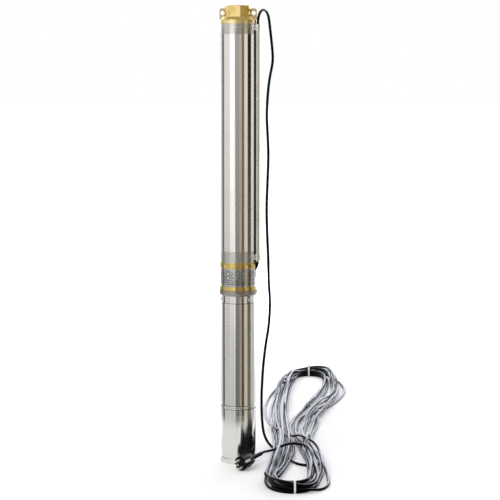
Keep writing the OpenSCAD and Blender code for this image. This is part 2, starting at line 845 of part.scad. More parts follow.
// One neck screw with its head's underside at the origin, pointing up
module neck_screw() {
    head_r = neck_head_d / 2;
    dome_r = (head_r * head_r + neck_head_h * neck_head_h) / (2 * neck_head_h);
    difference() {
        union() {
            translate([0, 0, -skirt_wall - neck_grip + over])
                cylinder(d = neck_screw_d, h = skirt_wall + neck_grip);
            intersection() {
                translate([0, 0, neck_head_h - dome_r]) sphere(dome_r);
                cylinder(r = head_r, h = neck_head_h);
            }
        }
        translate([0, 0, neck_head_h - socket_depth]) flat_bar(socket_af, 6, socket_depth + over);
    }
}

// Top bracket: motor's top cover with the upper bearing, the shaft seal and the cable's way out
module top_bracket() {
    z0 = z_neck - top_insert;
    color("silver") difference() {
        union() {
            translate([0, 0, z0]) cylinder(r = r_insert, h = top_insert);
            translate([0, 0, z_neck - over]) cylinder(r = r_skirt_in - fit, h = neck_h + over);
        }
        translate([0, 0, z0 - over]) cylinder(r = bearing_od / 2 + fit, h = bearing_lip + bearing_w + over);
        translate([0, 0, z0]) cylinder(r = r_seal_shaft + seal_clear, h = top_insert);
        translate([0, 0, z_seal_seat]) cylinder(r = r_seal_shaft + seal_seat_t + fit, h = seal_seat_h + over);
        translate([0, 0, z_seal_face]) cylinder(r = r_seal_room, h = z_flange - z_seal_face + over);
        rotate([0, 0, guard_az]) translate([lead_r, 0, z0 - over])
            cylinder(d = cord_d + 2 * fit, h = top_insert + neck_h + 2 * over);
        neck_screw_holes(r_neck - skirt_wall - neck_grip, r_neck);
        o_ring_groove(r_insert, z_neck - top_insert / 2);
    }
}

// Fixed ring of the shaft seal
module seal_seat() {
    color("white") translate([0, 0, z_seal_seat])
        ring(r_seal_shaft + seal_seat_t, r_seal_shaft + seal_clear, seal_seat_h);
}

// Turning head of the shaft seal: face ring, bellows and retainer
module seal_head() {
    step = seal_len / 3;
    color("black") translate([0, 0, z_seal_face + seal_gap]) rotate_extrude() polygon([
        [r_seal_shaft, 0], [r_seal_shaft + face_t, 0], [r_seal_shaft + face_t, step],
        [r_seal_shaft + seal_seat_t, step], [r_seal_shaft + seal_seat_t, 2 * step],
        [r_seal_shaft + bellows_t, 2 * step], [r_seal_shaft + bellows_t, seal_len], [r_seal_shaft, seal_len]
    ]);
}

// Outer rings of both ball bearings
module bearing_outer_rings() {
    color("gray") for (z = [z_low_bearing, z_top_bearing])
        bearing_ring(z, ball_pitch_r + race_gap, bearing_od / 2);
}

// Inner rings of both ball bearings
module bearing_inner_rings() {
    color("lightgray") for (z = [z_low_bearing, z_top_bearing])
        bearing_ring(z, r_journal, ball_pitch_r - race_gap);
}

// Ring with the balls' groove
module bearing_ring(z, r_in, r_out) {
    translate([0, 0, z]) rotate_extrude() difference() {
        translate([r_in, 0]) square([r_out - r_in, bearing_w]);
        translate([ball_pitch_r, bearing_w / 2]) circle(ball_d / 2 + ball_play);
    }
}

// Balls of both bearings, each set in its cage
module bearing_balls() {
    color("darkgray") for (z = [z_low_bearing, z_top_bearing]) translate([0, 0, z + bearing_w / 2]) {
        for (i = [0 : ball_count - 1]) rotate([0, 0, i * 360 / ball_count])
            translate([ball_pitch_r, 0, 0]) sphere(d = ball_d);
        translate([0, 0, -cage_t / 2]) ring(ball_pitch_r + cage_t / 2, ball_pitch_r - cage_t / 2, cage_t);
    }
}

// Motor shaft, from its tip in the lower bearing to the flats in the coupling
module motor_shaft() {
    z_tip = z_low_bearing - shaft_tip_h;
    z_body = z_low_bearing + bearing_w;
    z_over = z_top_bearing + bearing_w;
    z_drive = z_coupling - shaft_tip_h;
    color("silver") {
        translate([0, 0, z_tip]) cylinder(r = r_journal, h = z_over - z_tip);
        translate([0, 0, z_body]) cylinder(r = r_shaft_body, h = z_top_bearing - z_body);
        translate([0, 0, z_over - over]) cylinder(r = r_seal_shaft, h = z_drive - z_over + over);
        translate([0, 0, z_drive - over]) drive_end(z_coupling_mid - shaft_end_gap - z_drive + over, 0);
    }
}

// Rotor's stack with its end rings
module rotor_core() {
    color("slategray") translate([0, 0, z_stack - rotor_ring_h])
        ring(rotor_d / 2, r_shaft_body, stack_len + 2 * rotor_ring_h);
}

// Stack of laminations with its slots
module stator_core() {
    color("gray") translate([0, 0, z_stack]) difference() {
        cylinder(r = r_insert, h = stack_len);
        translate([0, 0, -over]) cylinder(r = r_stator_bore, h = stack_len + 2 * over);
        for (i = [0 : slot_count - 1]) rotate([0, 0, i * 360 / slot_count]) {
            translate([r_slot, -slot_w / 2, -over]) cube([slot_depth, slot_w, stack_len + 2 * over]);
            translate([0, -slot_mouth / 2, -over]) cube([r_slot + over, slot_mouth, stack_len + 2 * over]);
        }
    }
}

// Copper in the slots and the end turns above and below
module stator_winding() {
    bar_w = slot_w - 2 * slot_play;
    bar_depth = slot_depth - 2 * slot_play;
    r_in = r_slot + slot_play;
    color("chocolate") {
        for (i = [0 : slot_count - 1]) rotate([0, 0, i * 360 / slot_count])
            translate([r_in, -bar_w / 2, z_stack - end_turn_h / 2])
                cube([bar_depth, bar_w, stack_len + end_turn_h]);
        for (z = [z_stack - end_turn_h, z_stack + stack_len + slot_play])
            translate([0, 0, z]) ring(r_in + bar_depth, r_in - slot_skin / 2, end_turn_h - slot_play);
    }
}

// Outer shell of the motor
module motor_shell() {
    color("gainsboro") translate([0, 0, z_motor]) ring(r_shell, r_shell_in, motor_len);
}

// Lower bracket: joint ring between the shells, with the lower bearing
module lower_bracket() {
    bracket_h = bearing_bed + bearing_w + bearing_lip;
    color("gray") difference() {
        union() {
            translate([0, 0, z_joint - insert_len]) cylinder(r = r_insert, h = insert_len + over);
            translate([0, 0, z_joint]) rounded_disc(r_shell + ring_over, ring_h, edge_r);
            translate([0, 0, z_motor - over]) cylinder(r = r_insert, h = bracket_h + over);
        }
        translate([0, 0, z_joint - insert_len - over])
            cylinder(r = r_insert - bracket_wall, h = insert_len + over);
        translate([0, 0, z_low_bearing]) cylinder(r = bearing_od / 2 + fit, h = bracket_h);
        translate([0, 0, z_motor]) cylinder(r = r_journal + bearing_bed, h = bearing_bed + over);
        o_ring_groove(r_insert, z_joint - insert_len / 2);
        o_ring_groove(r_insert, z_motor + bracket_h / 2);
    }
}

// Outer shell of the capacitor's chamber
module capacitor_shell() {
    color("gainsboro") translate([0, 0, base_h]) ring(r_shell, r_shell_in, chamber_len);
}

// Capacitor's can with two terminals
module capacitor() {
    z0 = base_floor + cup_wall;
    color("lightsteelblue") {
        translate([0, 0, z0]) rounded_disc(capacitor_d / 2, capacitor_len, edge_r);
        for (x = [-1, 1])
            translate([x * capacitor_d / 5 - terminal_w / 2, -terminal_t / 2, z0 + capacitor_len - over])
                cube([terminal_w, terminal_t, terminal_h + over]);
    }
}

// Rubber cup that seats the capacitor in the foot
module capacitor_cup() {
    r_in = capacitor_d / 2 + fit;
    color("black") translate([0, 0, base_floor]) difference() {
        cylinder(r = r_in + cup_wall, h = cup_h);
        translate([0, 0, cup_wall]) cylinder(r = r_in, h = cup_h);
    }
}

// Foot: flat-bottomed cap with a spigot in the chamber's shell
module base_cap() {
    color("silver") difference() {
        union() {
            rounded_disc(r_shell + base_over, base_h, edge_r);
            translate([0, 0, base_h - over]) cylinder(r = r_insert, h = insert_len / 2 + over);
        }
        translate([0, 0, base_floor]) cylinder(r = r_insert - bracket_wall, h = base_h + insert_len);
        o_ring_groove(r_insert, base_h + insert_len / 4);
    }
}

// Seals between the shells and what sits in them
module o_rings() {
    bracket_h = bearing_bed + bearing_w + bearing_lip;
    color("black") {
        o_ring(r_insert, base_h + insert_len / 4);
        o_ring(r_insert, z_joint - insert_len / 2);
        o_ring(r_insert, z_motor + bracket_h / 2);
        o_ring(r_insert, z_neck - top_insert / 2);
    }
}

// Round-backed channel of a half width, from the casing out
module channel_outline(half) {
    translate([r_cable, 0]) circle(half);
    translate([0, -half]) square([r_cable, 2 * half]);
}

// Channel over the cable along the casing
module cable_guard() {
    color("lightgray") rotate([0, 0, guard_az]) translate([0, 0, z_casing + guard_end_gap])
        linear_extrude(z_head - z_casing - 2 * guard_end_gap) difference() {
            channel_outline(channel_out);
            channel_outline(channel_half);
            circle(r_casing + fit);
        }
}

// Bands over the guard's ends with a tab on each side
module guard_clips() {
    color("white") difference() {
        for (z = clip_levels) rotate([0, 0, guard_az]) translate([0, 0, z])
            linear_extrude(clip_h) clip_outline();
        for (z = clip_levels) guard_screw_holes(z);
    }
}

// Outline of one band, seen from above
module clip_outline() {
    tab_half = clip_half + clip_tab;
    difference() {
        union() {
            channel_outline(clip_half);
            intersection() {
                circle(r_clip);
                translate([0, -tab_half]) square([r_casing + 2 * clip_wall, 2 * tab_half]);
            }
        }
        channel_outline(channel_out + fit);
        circle(r_casing + fit);
    }
}

// Holes for one clip's screws, from inside the spigots out through the clip
module guard_screw_holes(z) {
    for (side = [-1, 1])
        radial_bar(guard_az + side * guard_screw_turn, z + clip_h / 2, guard_screw_r + fit,
                   r_clip - guard_screw_len - over, r_clip + over);
}

// Pan-head screws of the clips
module guard_screws() {
    color("silver") for (z = clip_levels, side = [-1, 1]) {
        turn = guard_az + side * guard_screw_turn;
        radial_bar(turn, z + clip_h / 2, guard_screw_r, r_clip - guard_screw_len, r_clip + over);
        rotate([0, 0, turn]) translate([r_clip + fit, 0, z + clip_h / 2]) rotate([0, 90, 0])
            rounded_disc(guard_head_r, guard_head_h, guard_head_h / 2 - fit);
    }
}

// Cable from the motor's winding through the gland and the intake, up the guard
module motor_lead() {
    z_inside = z_stack + stack_len + end_turn_h;
    side_view = concat(
        [[lead_r, z_inside], [lead_r, z_flange], [lead_r, z_intake + lead_rise]],
        open_spline([
            [lead_r + lead_across[0], z_window + lead_low],
            [lead_r + lead_across[1], z_upper_ring - lead_mid],
            [r_cable - lead_across[2], z_upper_ring - lead_high],
            [r_cable - lead_across[3], z_upper_ring + lead_rise], [r_cable, z_casing + lead_rise]
        ], 3),
        [[r_cable, z_casing + lead_straight], [r_cable, z_head]]
    );
    route = [for (p = side_view) [p[0] * cos(guard_az), p[0] * sin(guard_az), p[1]]];
    color("black") tube_along(route, cord_d / 2, 10, [0, 0, 1], [0, 0, 1]);
}

// Gland that seals the cable on the top bracket
module lead_gland() {
    color("dimgray") rotate([0, 0, guard_az]) translate([lead_r, 0, z_flange]) difference() {
        cylinder(r = gland_r, h = gland_h);
        translate([0, 0, -over]) cylinder(d = cord_d + 2 * fit, h = gland_h + 2 * over);
    }
}

// Free cable from the guard's top down to the hank
module cord_drop() {
    route = open_spline(drop_route, 2);
    last = len(route) - 1;
    color("black") tube_along(route, cord_d / 2, 10, [0, 0, 1], unit(route[last] - route[last - 1]));
}

// Hank of the cable's length on the floor, round its middle line
module cord_hank() {
    line = closed_spline(hank_line, 4);
    n = len(line);
    sides = [for (i = [0 : n - 1])
        let (way = unit([for (k = [0, 1]) line[(i + 1) % n][k] - line[(i + n - 1) % n][k]]))
        [-way[1], way[0]]];
    outline = [for (side = [-1, 1], i = [0 : n - 1])
        [line[i][0], line[i][1]] + side * line[i][2] * sides[i]];
    color("black") linear_extrude(hank_h)
        polygon(outline, [[for (i = [0 : n - 1]) i], [for (i = [0 : n - 1]) n + i]]);
}

// Free cable from the hank to the plug
module cord_tail() {
    route = open_spline(tail_route, 2);
    color("black") tube_along(route, cord_d / 2, 10, unit(route[1] - route[0]), -plug_way);
}

// Plug's own place: its face at the origin and its body along +X, rolled over and with its rear lifted
module at_plug() {
    translate(plug_seat) rotate([0, -plug_tilt, plug_turn]) rotate([plug_roll, 0, 0]) children();
}

// Turned about the plug's own axis
module turned_on_plug() {
    rotate([90, 0, 90]) rotate_extrude() children();
}

// Plug's grip in outline: from round at the front to a given width at the rear
module grip_outline(end_w) {
    polygon([
        [plug_edge, -grip_r], [plug_front, -grip_r], [plug_len, -end_w / 2],
        [plug_len, end_w / 2], [plug_front, grip_r], [plug_edge, grip_r]
    ]);
}

// Round plug body with a flattened grip, a groove for each earth clip and bores for the contacts
module plug_body() {
    r = plug_d / 2;
    color("black") at_plug() difference() {
        union() {
            turned_on_plug() {
                square([r - plug_edge, plug_front]);
                translate([0, plug_edge]) square([r, plug_front - 2 * plug_edge]);
                for (z = [plug_edge, plug_front - plug_edge]) translate([r - plug_edge, z]) circle(plug_edge);
            }
            intersection() {
                translate([plug_edge, 0, 0]) rotate([0, 90, 0])
                    cylinder(r = grip_r, h = plug_len - plug_edge);
                linear_extrude(plug_d, center = true) grip_outline(grip_end_w);
                rotate([90, 0, 0]) linear_extrude(plug_d, center = true) grip_outline(grip_end_h);
            }
        }
        for (side = [-1, 1]) translate([-over, side * r - clip_groove_d, -clip_groove_w / 2])
            cube([plug_front - plug_edge + over, 2 * clip_groove_d, clip_groove_w]);
        for (side = [-1, 1]) translate([-over, 0, side * pin_spacing / 2]) rotate([0, 90, 0])
            cylinder(d = pin_d + 2 * fit, h = plug_front / 2 + over);
        translate([-over, earth_off, 0]) rotate([0, 90, 0])
            cylinder(d = earth_d + 2 * (earth_sleeve + fit), h = earth_depth + over);
    }
}

// Plug's two pins, its earth socket and two earth clips
module plug_contacts() {
    r = plug_d / 2;
    clip_len = plug_front - 2 * plug_edge;
    color("silver") at_plug() {
        for (side = [-1, 1]) translate([-pin_len + pin_d / 2, 0, side * pin_spacing / 2]) {
            rotate([0, 90, 0]) cylinder(d = pin_d, h = pin_len - pin_d / 2 + plug_front / 2);
            sphere(d = pin_d);
        }
        translate([fit, earth_off, 0]) rotate([0, 90, 0])
            ring(earth_d / 2 + earth_sleeve, earth_d / 2, earth_depth - 2 * fit);
        for (side = [-1, 1])
            translate([plug_edge, side * (r - clip_groove_d + earth_clip_t / 2 + fit) - earth_clip_t / 2, 0])
                translate([0, 0, -clip_groove_w / 2 + 2 * fit])
                    cube([clip_len, earth_clip_t, clip_groove_w - 4 * fit]);
    }
}

// Ribbed boot that lets the cable bend as it leaves the plug
module plug_boot() {
    r_tip = cord_d / 2 + boot_tip;
    step = boot_len / (boot_grooves + 1);
    color("black") at_plug() translate([plug_len, 0, 0]) turned_on_plug() difference() {
        polygon([[0, 0], [boot_r, 0], [r_tip, boot_len], [0, boot_len]]);
        for (i = [1 : boot_grooves])
            translate([boot_r + (r_tip - boot_r) * i / (boot_grooves + 1), i * step]) circle(boot_tip / 2);
    }
}

outlet_head();
valve_poppet();
valve_spring();
valve_guide();
pump_casing();
discharge_spider();
discharge_bush();
pump_shaft();
shaft_sleeve();
shaft_nut();
suction_plate();
for (i = [1 : stage_count]) {
    stage_bowl(i);
    impeller(i);
}
intake_bracket();
strainer();
shaft_coupling();
motor_flange();
neck_screws();
top_bracket();
seal_seat();
seal_head();
bearing_outer_rings();
bearing_inner_rings();
bearing_balls();
motor_shaft();
rotor_core();
stator_core();
stator_winding();
motor_shell();
lower_bracket();
capacitor_shell();
capacitor();
capacitor_cup();
base_cap();
o_rings();
cable_guard();
guard_clips();
guard_screws();
motor_lead();
lead_gland();
cord_drop();
cord_hank();
cord_tail();
plug_body();
plug_contacts();
plug_boot();
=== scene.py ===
# %% [markdown]
# A borehole pump, dressed for its picture.
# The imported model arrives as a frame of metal, plastic and rubber pieces. This lesson gives each of them a
# finish, lays the mains cable on the floor as one continuous curve, and models the small trim that is easier
# to shape by hand than to draw as a solid. Everything is in metres, in the frame of the model.

# %% Tools and the frame
import math

import bpy
import numpy as np
from mathutils import Matrix, Vector


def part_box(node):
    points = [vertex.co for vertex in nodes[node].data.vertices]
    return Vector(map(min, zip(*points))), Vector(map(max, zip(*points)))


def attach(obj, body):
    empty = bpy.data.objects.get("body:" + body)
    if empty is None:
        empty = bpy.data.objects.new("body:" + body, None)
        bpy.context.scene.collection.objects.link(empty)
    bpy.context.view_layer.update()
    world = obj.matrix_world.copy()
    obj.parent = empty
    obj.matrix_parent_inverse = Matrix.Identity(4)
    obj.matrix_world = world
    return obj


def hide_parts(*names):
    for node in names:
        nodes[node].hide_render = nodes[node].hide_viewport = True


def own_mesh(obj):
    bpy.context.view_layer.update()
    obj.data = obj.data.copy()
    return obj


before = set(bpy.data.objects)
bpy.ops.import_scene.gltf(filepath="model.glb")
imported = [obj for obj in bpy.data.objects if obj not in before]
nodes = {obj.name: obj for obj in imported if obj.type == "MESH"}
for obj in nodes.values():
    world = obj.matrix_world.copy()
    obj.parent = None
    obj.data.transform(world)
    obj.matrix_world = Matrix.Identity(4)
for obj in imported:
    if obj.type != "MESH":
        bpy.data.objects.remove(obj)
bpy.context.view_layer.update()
scene = bpy.context.scene
scene.view_settings.view_transform = "Standard"
bpy.ops.object.select_all(action="DESELECT")
MM = 0.001

# %% [markdown]
# The camera stands four metres in front of the pump, a little lower than its outlet and tipped down, with a
# long lens. A long lens keeps the tube's sides parallel, as a product photographer wants them. The place and
# the tip were found by fitting the tube's edges, its rings and the floor's contact points.

# %% Camera
CAMERA_PLACE = (0.0294, -4.054, 1.032)
CAMERA_TIP = 6.87
CAMERA_LENS = 116.3
CAMERA_SENSOR = 36

bpy.ops.object.camera_add(location=CAMERA_PLACE, rotation=(math.radians(90 - CAMERA_TIP), 0, 0))
camera = bpy.context.object
camera.name = "photo_camera"
camera.data.lens = CAMERA_LENS
camera.data.sensor_width = CAMERA_SENSOR
scene.camera = camera
print(f"camera at {CAMERA_PLACE}, lens {CAMERA_LENS} mm")

# %% [markdown]
# The mains cable is one length from the guard's top to the plug. It rises out of the guard, bends over, hangs
# down beside the casing and lands on the floor. There it runs under the hank, joins it, goes round ten
# times and leaves over the top towards the plug. The free stretches follow listed points, close to
# those of the model's own cable.

# %% Route of the free cable, in millimetres
CABLE_R = 3.5
GUARD_TURN = math.radians(-14)
CABLE_FROM_AXIS = 50.3
HEAD_Z = 1109.5

guard_way = np.array([math.cos(GUARD_TURN), math.sin(GUARD_TURN), 0])
cable_exit = CABLE_FROM_AXIS * guard_way + [0, 0, HEAD_Z]
drop_route = [
    cable_exit, cable_exit + [0.3, 0.5, 8], (51, -8.2, 1130), (56, 2, 1141.5), (63.4, 16, 1145.5),
    (70.7, 30, 1141.5), (76, 40, 1130), (78.5, 44.5, 1112), (81, 48, 1090), (85, 50, 1054), (87, 50, 1018),
    (80, 50, 980), (75, 50, 940), (72, 50, 880), (75, 50, 815), (76, 52, 770), (74, 54, 710),
    (72, 55, 650), (73, 56, 590), (76, 57, 520), (78, 60, 450), (81, 64, 400), (78, 72, 340),
    (70, 80, 285), (64, 88, 230), (60, 97, 160), (60, 106, 105), (63, 114, 60), (70, 118, 26),
    (80, 112, 10), (92, 96, 5), (104, 78, CABLE_R),
]
join_route = [
    (116, 42, CABLE_R), (127, 4, CABLE_R), (138, -32, CABLE_R), (155, -62, CABLE_R), (180, -75, CABLE_R),
    (206, -62, CABLE_R), (217, -32, CABLE_R), (213, 12, CABLE_R + 2), (199, 90, CABLE_R + 5),
]
HANK_TOP = 22
PLUG_FACE = np.array([5.5, -110, 18.5])
PLUG_TURN = math.radians(56)
PLUG_TILT = math.radians(4.5)
PLUG_REACH = 94
PLUG_STRAIGHT = 14
plug_level = math.cos(PLUG_TILT)
plug_way = np.array([
    math.cos(PLUG_TURN) * plug_level, math.sin(PLUG_TURN) * plug_level, math.sin(PLUG_TILT)])
tail_end = PLUG_FACE + PLUG_REACH * plug_way
tail_route = [
    (190, -95, HANK_TOP - 4), (187, -40, HANK_TOP + 2), (182, 4, HANK_TOP + 5), (172, 31, HANK_TOP + 6),
    (153, 42, HANK_TOP + 6), (132, 37, HANK_TOP + 6), (109, 22, HANK_TOP + 5), (86, 2, HANK_TOP + 4),
    tail_end + PLUG_STRAIGHT * plug_way, tail_end,
]
print(f"drop of {len(drop_route)} points, lead to the plug of {len(tail_route)} points")

# %% [markdown]
# The hank is wound the way a person does it, round and round with the strands side by side. Its middle line
# and half width are known at 21 stations, so a loop can place every turn: each turn takes a slot across the
# width, and a slow swing with a seeded start lets the strands wander over one another. Round the two ties
# they stand in columns, pulled tight. A few strands stray out of the bundle, as they do once a hank has been
# handled: for a turn and a station, STRAYS says how far from the middle line, with a minus for the outside.

# %% Stations of the hank
HANK_LINE = np.array([
    (162, 200, 30), (182, 430, 36), (234, 640, 33), (272, 830, 30), (279, 985, 19), (264, 1070, 16),
    (220, 1103, 16), (177, 1072, 16), (157, 990, 20), (140, 850, 28), (123, 600, 34), (119, 370, 33),
    (119, 110, 28), (99, -90, 25), (80, -215, 17), (92, -288, 12), (135, -314, 12), (170, -283, 12),
    (184, -222, 17), (195, -100, 25), (186, 40, 27),
], dtype=float)
TURNS = 10
REAR_TIE = 6
FRONT_TIE = 16
LAST_STATIONS = FRONT_TIE + 3
COLUMNS = {
    station: columns
    for tie, columns in ((REAR_TIE, (-18, -10.6, -3.2, 4.2)), (FRONT_TIE, (-13, -5.6, 1.8)))
    for station in (tie - 1, tie, tie + 1)
}
UNEVEN = 0.3
WAVES = 1.5
STRAYS = {
    (2, 2): -34, (2, 3): -47, (2, 4): -32,
    (4, 9): -34, (4, 10): -50, (4, 11): -30,
    (7, 17): -34, (7, 18): -38, (7, 19): -16,
    (3, 20): -12, (4, 0): -30, (4, 1): -40,
}
print(f"hank of {TURNS} turns over {len(HANK_LINE)} stations, with {len(STRAYS)} strays")

# %% [markdown]
# To wind the hank, the way across it is worked out at each station, and every turn is set there by its slot.
# A seed keeps the slots and the swings the same in every run. For now all of it lies flat, strand through
# strand.

# %% Wind the hank
HANK_SEED = 11
unevenness = np.random.default_rng(HANK_SEED)


def hank_sides(line):
    """Unit vectors across the hank at each station, pointing to its inside."""
    ways = np.roll(line[:, :2], -1, axis=0) - np.roll(line[:, :2], 1, axis=0)
    ways /= np.linalg.norm(ways, axis=1)[:, None]
    return np.stack([-ways[:, 1], ways[:, 0]], axis=1)


def place_across(line, station, slot, wander):
    """How far to the inside a strand lies at a station, from its slot between -1 and 1."""
    if station in COLUMNS:
        columns = COLUMNS[station]
        return columns[min(int((slot + 1) / 2 * len(columns)), len(columns) - 1)]
    return np.clip(slot + wander, -1, 1) * (line[station, 2] - CABLE_R)


def wind_hank(line):
    """Points of all turns, one after the other, in the order in which they were laid."""
    sides = hank_sides(line)
    middle = (TURNS - 1) / 2
    slots = (unevenness.permutation(TURNS) - middle) / middle
    swing = unevenness.uniform(0, 2 * math.pi, TURNS)
    points = []
    for turn in range(TURNS):
        stations = LAST_STATIONS if turn == TURNS - 1 else len(line)
        for k in range(stations):
            wander = UNEVEN * math.sin(2 * math.pi * WAVES * k / len(line) + swing[turn])
            across = place_across(line, k, slots[turn], wander)
            across = STRAYS.get((turn, k), across)
            x, y = line[k, :2] + across * sides[k]
            points.append((x, y, CABLE_R))
    return points


hank_route = wind_hank(HANK_LINE)
print(f"{TURNS} turns, {len(hank_route)} points")

# %% [markdown]
# A route of listed points becomes a cable when it is smooth and evenly stepped, so the points are joined by
# a curve that passes through each of them, and that curve is cut into equal steps.

# %% Smooth route
ROUTE_STEPS = 14
STEP = 6


def smooth_route(points, steps):
    """Curve through all points, with a number of steps between each pair."""
    p = np.asarray(points, dtype=float)
    last = len(p) - 1
    rows = []
    for i in range(last):
        a, b, c, d = p[max(i - 1, 0)], p[i], p[i + 1], p[min(i + 2, last)]
        for t in np.arange(steps) / steps:
            bend = (2 * a - 5 * b + 4 * c - d) * t**2 + (3 * b - a - 3 * c + d) * t**3
            rows.append(0.5 * (2 * b + (c - a) * t + bend))
    rows.append(p[last])
    return np.array(rows)


def run_of(points):
    """Length along the route at each point."""
    steps = np.linalg.norm(np.diff(points, axis=0), axis=1)
    return np.concatenate([[0], np.cumsum(steps)])


def even_steps(points, step):
    """The same route with its points a fixed length apart."""
    run = run_of(points)
    marks = np.linspace(0, run[-1], round(run[-1] / step) + 1)
    return np.stack([np.interp(marks, run, points[:, k]) for k in range(3)], axis=1)


whole_route = smooth_route([*drop_route, *join_route, *hank_route, *tail_route], ROUTE_STEPS)
flat_lay = even_steps(whole_route, STEP)
print(f"{len(flat_lay)} steps of {STEP} mm, {run_of(flat_lay)[-1] / 1000:.2f} m as set by hand")

# %% [markdown]
# A stiff cable evens its bends out. To do that, each point moves a little towards the middle of its two
# neighbours, round after round. The drop has its shape already, so a few rounds are enough for it.

# %% Ease the bends
EASE_EDGE = 9
EASE_SHARE = 0.25
EXIT_STEPS = 3
END_STEPS = 10
DROP_ROUNDS = 4
LAY_ROUNDS = 30


def ease(points, first, last, rounds):
    """The same route with the bends between two points evened out."""
    eased = points.copy()
    share = np.zeros(len(points))
    share[first:last] = 1
    share = EASE_SHARE * np.convolve(share, np.ones(EASE_EDGE) / EASE_EDGE, "same")[1:-1, None]
    for _ in range(rounds):
        eased[1:-1] += share * (eased[:-2] - 2 * eased[1:-1] + eased[2:])
    return eased


drop_steps = round(run_of(smooth_route(drop_route, ROUTE_STEPS))[-1] / STEP)
tail_steps = round(run_of(smooth_route(tail_route, ROUTE_STEPS))[-1] / STEP)
flat_lay = ease(flat_lay, EXIT_STEPS, drop_steps, DROP_ROUNDS)
flat_lay = ease(flat_lay, drop_steps - END_STEPS, len(flat_lay) - END_STEPS, LAY_ROUNDS)
print(f"{run_of(flat_lay)[-1] / 1000:.2f} m after easing, {drop_steps} steps of it for the drop")

# %% [markdown]
# Now the cable is laid down, one stretch after the other. Where it crosses strands that already lie there it
# has to ride over them, so the height that they ask for is looked up along its way. A sheath is stiff: it
# starts to rise before a strand and comes down after it. Taking the highest request within a short reach, and
# then averaging over the same reach, does both and never dips into what lies below. Nothing can lie on the
# hanging stretch, so that is left out. The last steps rise from the floor to the plug.

# %% Lay the turns down
HANGING = 60
STRETCH = 40
REACH = 6
OWN_REACH = 14
PLUG_STEPS = 22
PLUG_BLEND = 12


def height_over(points, below):
    """Height that each point needs to clear the strands that lie below it."""
    need = np.full(len(points), CABLE_R)
    gap = np.linalg.norm(points[:, None, :2] - below[None, :, :2], axis=2)
    clear = below[None, :, 2] + np.sqrt(np.maximum((2 * CABLE_R) ** 2 - gap**2, 0))
    return np.maximum(need, np.where(gap < 2 * CABLE_R, clear, 0).max(axis=1))


def ride_over(need, reach):
    """The needed heights as a stiff cable meets them."""
    span = 2 * reach + 1
    padded = np.pad(need, reach, mode="edge")
    highest = np.max([padded[i:i + len(need)] for i in range(span)], axis=0)
    weights = np.hanning(span + 2)[1:-1]
    padded = np.pad(highest, reach, mode="edge")
    return sum(w * padded[i:i + len(need)] for i, w in enumerate(weights)) / weights.sum()


def lay_down(flat, first):
    """The cable with its heights, laid one stretch at a time from a first point on."""
    laid = flat.copy()
    need = flat[:, 2].copy()
    for start in range(first, len(flat), STRETCH):
        end = min(start + STRETCH, len(flat))
        below = laid[:start - OWN_REACH]
        over = height_over(flat[start:end], below[below[:, 2] < HANGING])
        need[start:end] = np.maximum(need[start:end], over)
        laid[first:end, 2] = ride_over(need[first:end], REACH)
    return laid


flat_lay[drop_steps:-tail_steps // 2, 2] = CABLE_R
laid = lay_down(flat_lay, drop_steps)
to_plug = np.clip((np.arange(len(laid)) - len(laid) + PLUG_STEPS) / PLUG_BLEND, 0, 1)
laid[:, 2] += to_plug * (flat_lay[:, 2] - laid[:, 2])
print(f"hank up to {laid[drop_steps:-tail_steps, 2].max() + CABLE_R:.0f} mm high")

# %% [markdown]
# Two numbers tell whether this could be a real cable: its length, and its tightest bend, which shouldn't be
# under four times its diameter. The bend is the smallest circle through a point and two others near it.

# %% Measure the cable
BEND_REACH = 3


def tightest_bend(points, reach):
    """Smallest radius of a circle through a point and the two that are reach steps away, and its place."""
    a, b, c = points[:-2 * reach], points[reach:-reach], points[2 * reach:]
    sides = [np.linalg.norm(p - q, axis=1) for p, q in ((b, a), (c, b), (c, a))]
    twice_area = np.linalg.norm(np.cross(b - a, c - a), axis=1)
    radii = sides[0] * sides[1] * sides[2] / np.maximum(2 * twice_area, 1e-9)
    return radii.min(), b[radii.argmin()]


cable_path = laid * MM
bend, bend_place = tightest_bend(laid, BEND_REACH)

# %% [markdown]
# The laid points become one curve with a round section, so the cable stays a single length from the guard to
# the plug. A poly line is enough, because its points stand closer together than the cable is thick.


# %% Cable as one curve
def lay_curve(name, points, radius):
    """Round cable along points, as a curve of one open spline. The points carry the radius."""
    curve = bpy.data.curves.new(name, "CURVE")
    curve.dimensions = "3D"
    curve.bevel_depth = 1
    curve.bevel_resolution = 4
    curve.use_fill_caps = True
    spline = curve.splines.new("POLY")
    spline.points.add(len(points) - 1)
    spline.points.foreach_set("co", np.c_[points, np.ones(len(points))].ravel())
    spline.points.foreach_set("radius", np.full(len(points), radius))
    spline.use_smooth = True
    piece = bpy.data.objects.new(name, curve)
    scene.collection.objects.link(piece)
    return piece


cable = lay_curve("mains_cable", cable_path, CABLE_R * MM)
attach(cable, "pump")
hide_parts("cord_drop", "cord_hank", "cord_tail")
print(f"{cable.name}: {len(cable_path)} points")

# %% [markdown]
# Shader maths reads best as plain expressions. One small class wraps an output of a node tree, so that a sum
# or a product of two values adds the Math node by itself.


# %% Values
class Value:
    """One output of a node tree. Arithmetic on it adds Math nodes."""

    def __init__(self, tree, socket):
        self.tree = tree
        self.socket = socket

    def math(self, operation, *values):
        node = self.tree.nodes.new("ShaderNodeMath")
        node.operation = operation
        for slot, value in zip(node.inputs, values):
            feed(self.tree, slot, value)
        return Value(self.tree, node.outputs[0])

    def __add__(self, other):
        return self.math("ADD", self, other)

    __radd__ = __add__

    def __sub__(self, other):
        return self.math("SUBTRACT", self, other)

    def __rsub__(self, other):
        return self.math("SUBTRACT", other, self)

    def __mul__(self, other):
        return self.math("MULTIPLY", self, other)

    __rmul__ = __mul__

    def most(self, other):
        return self.math("MAXIMUM", self, other)


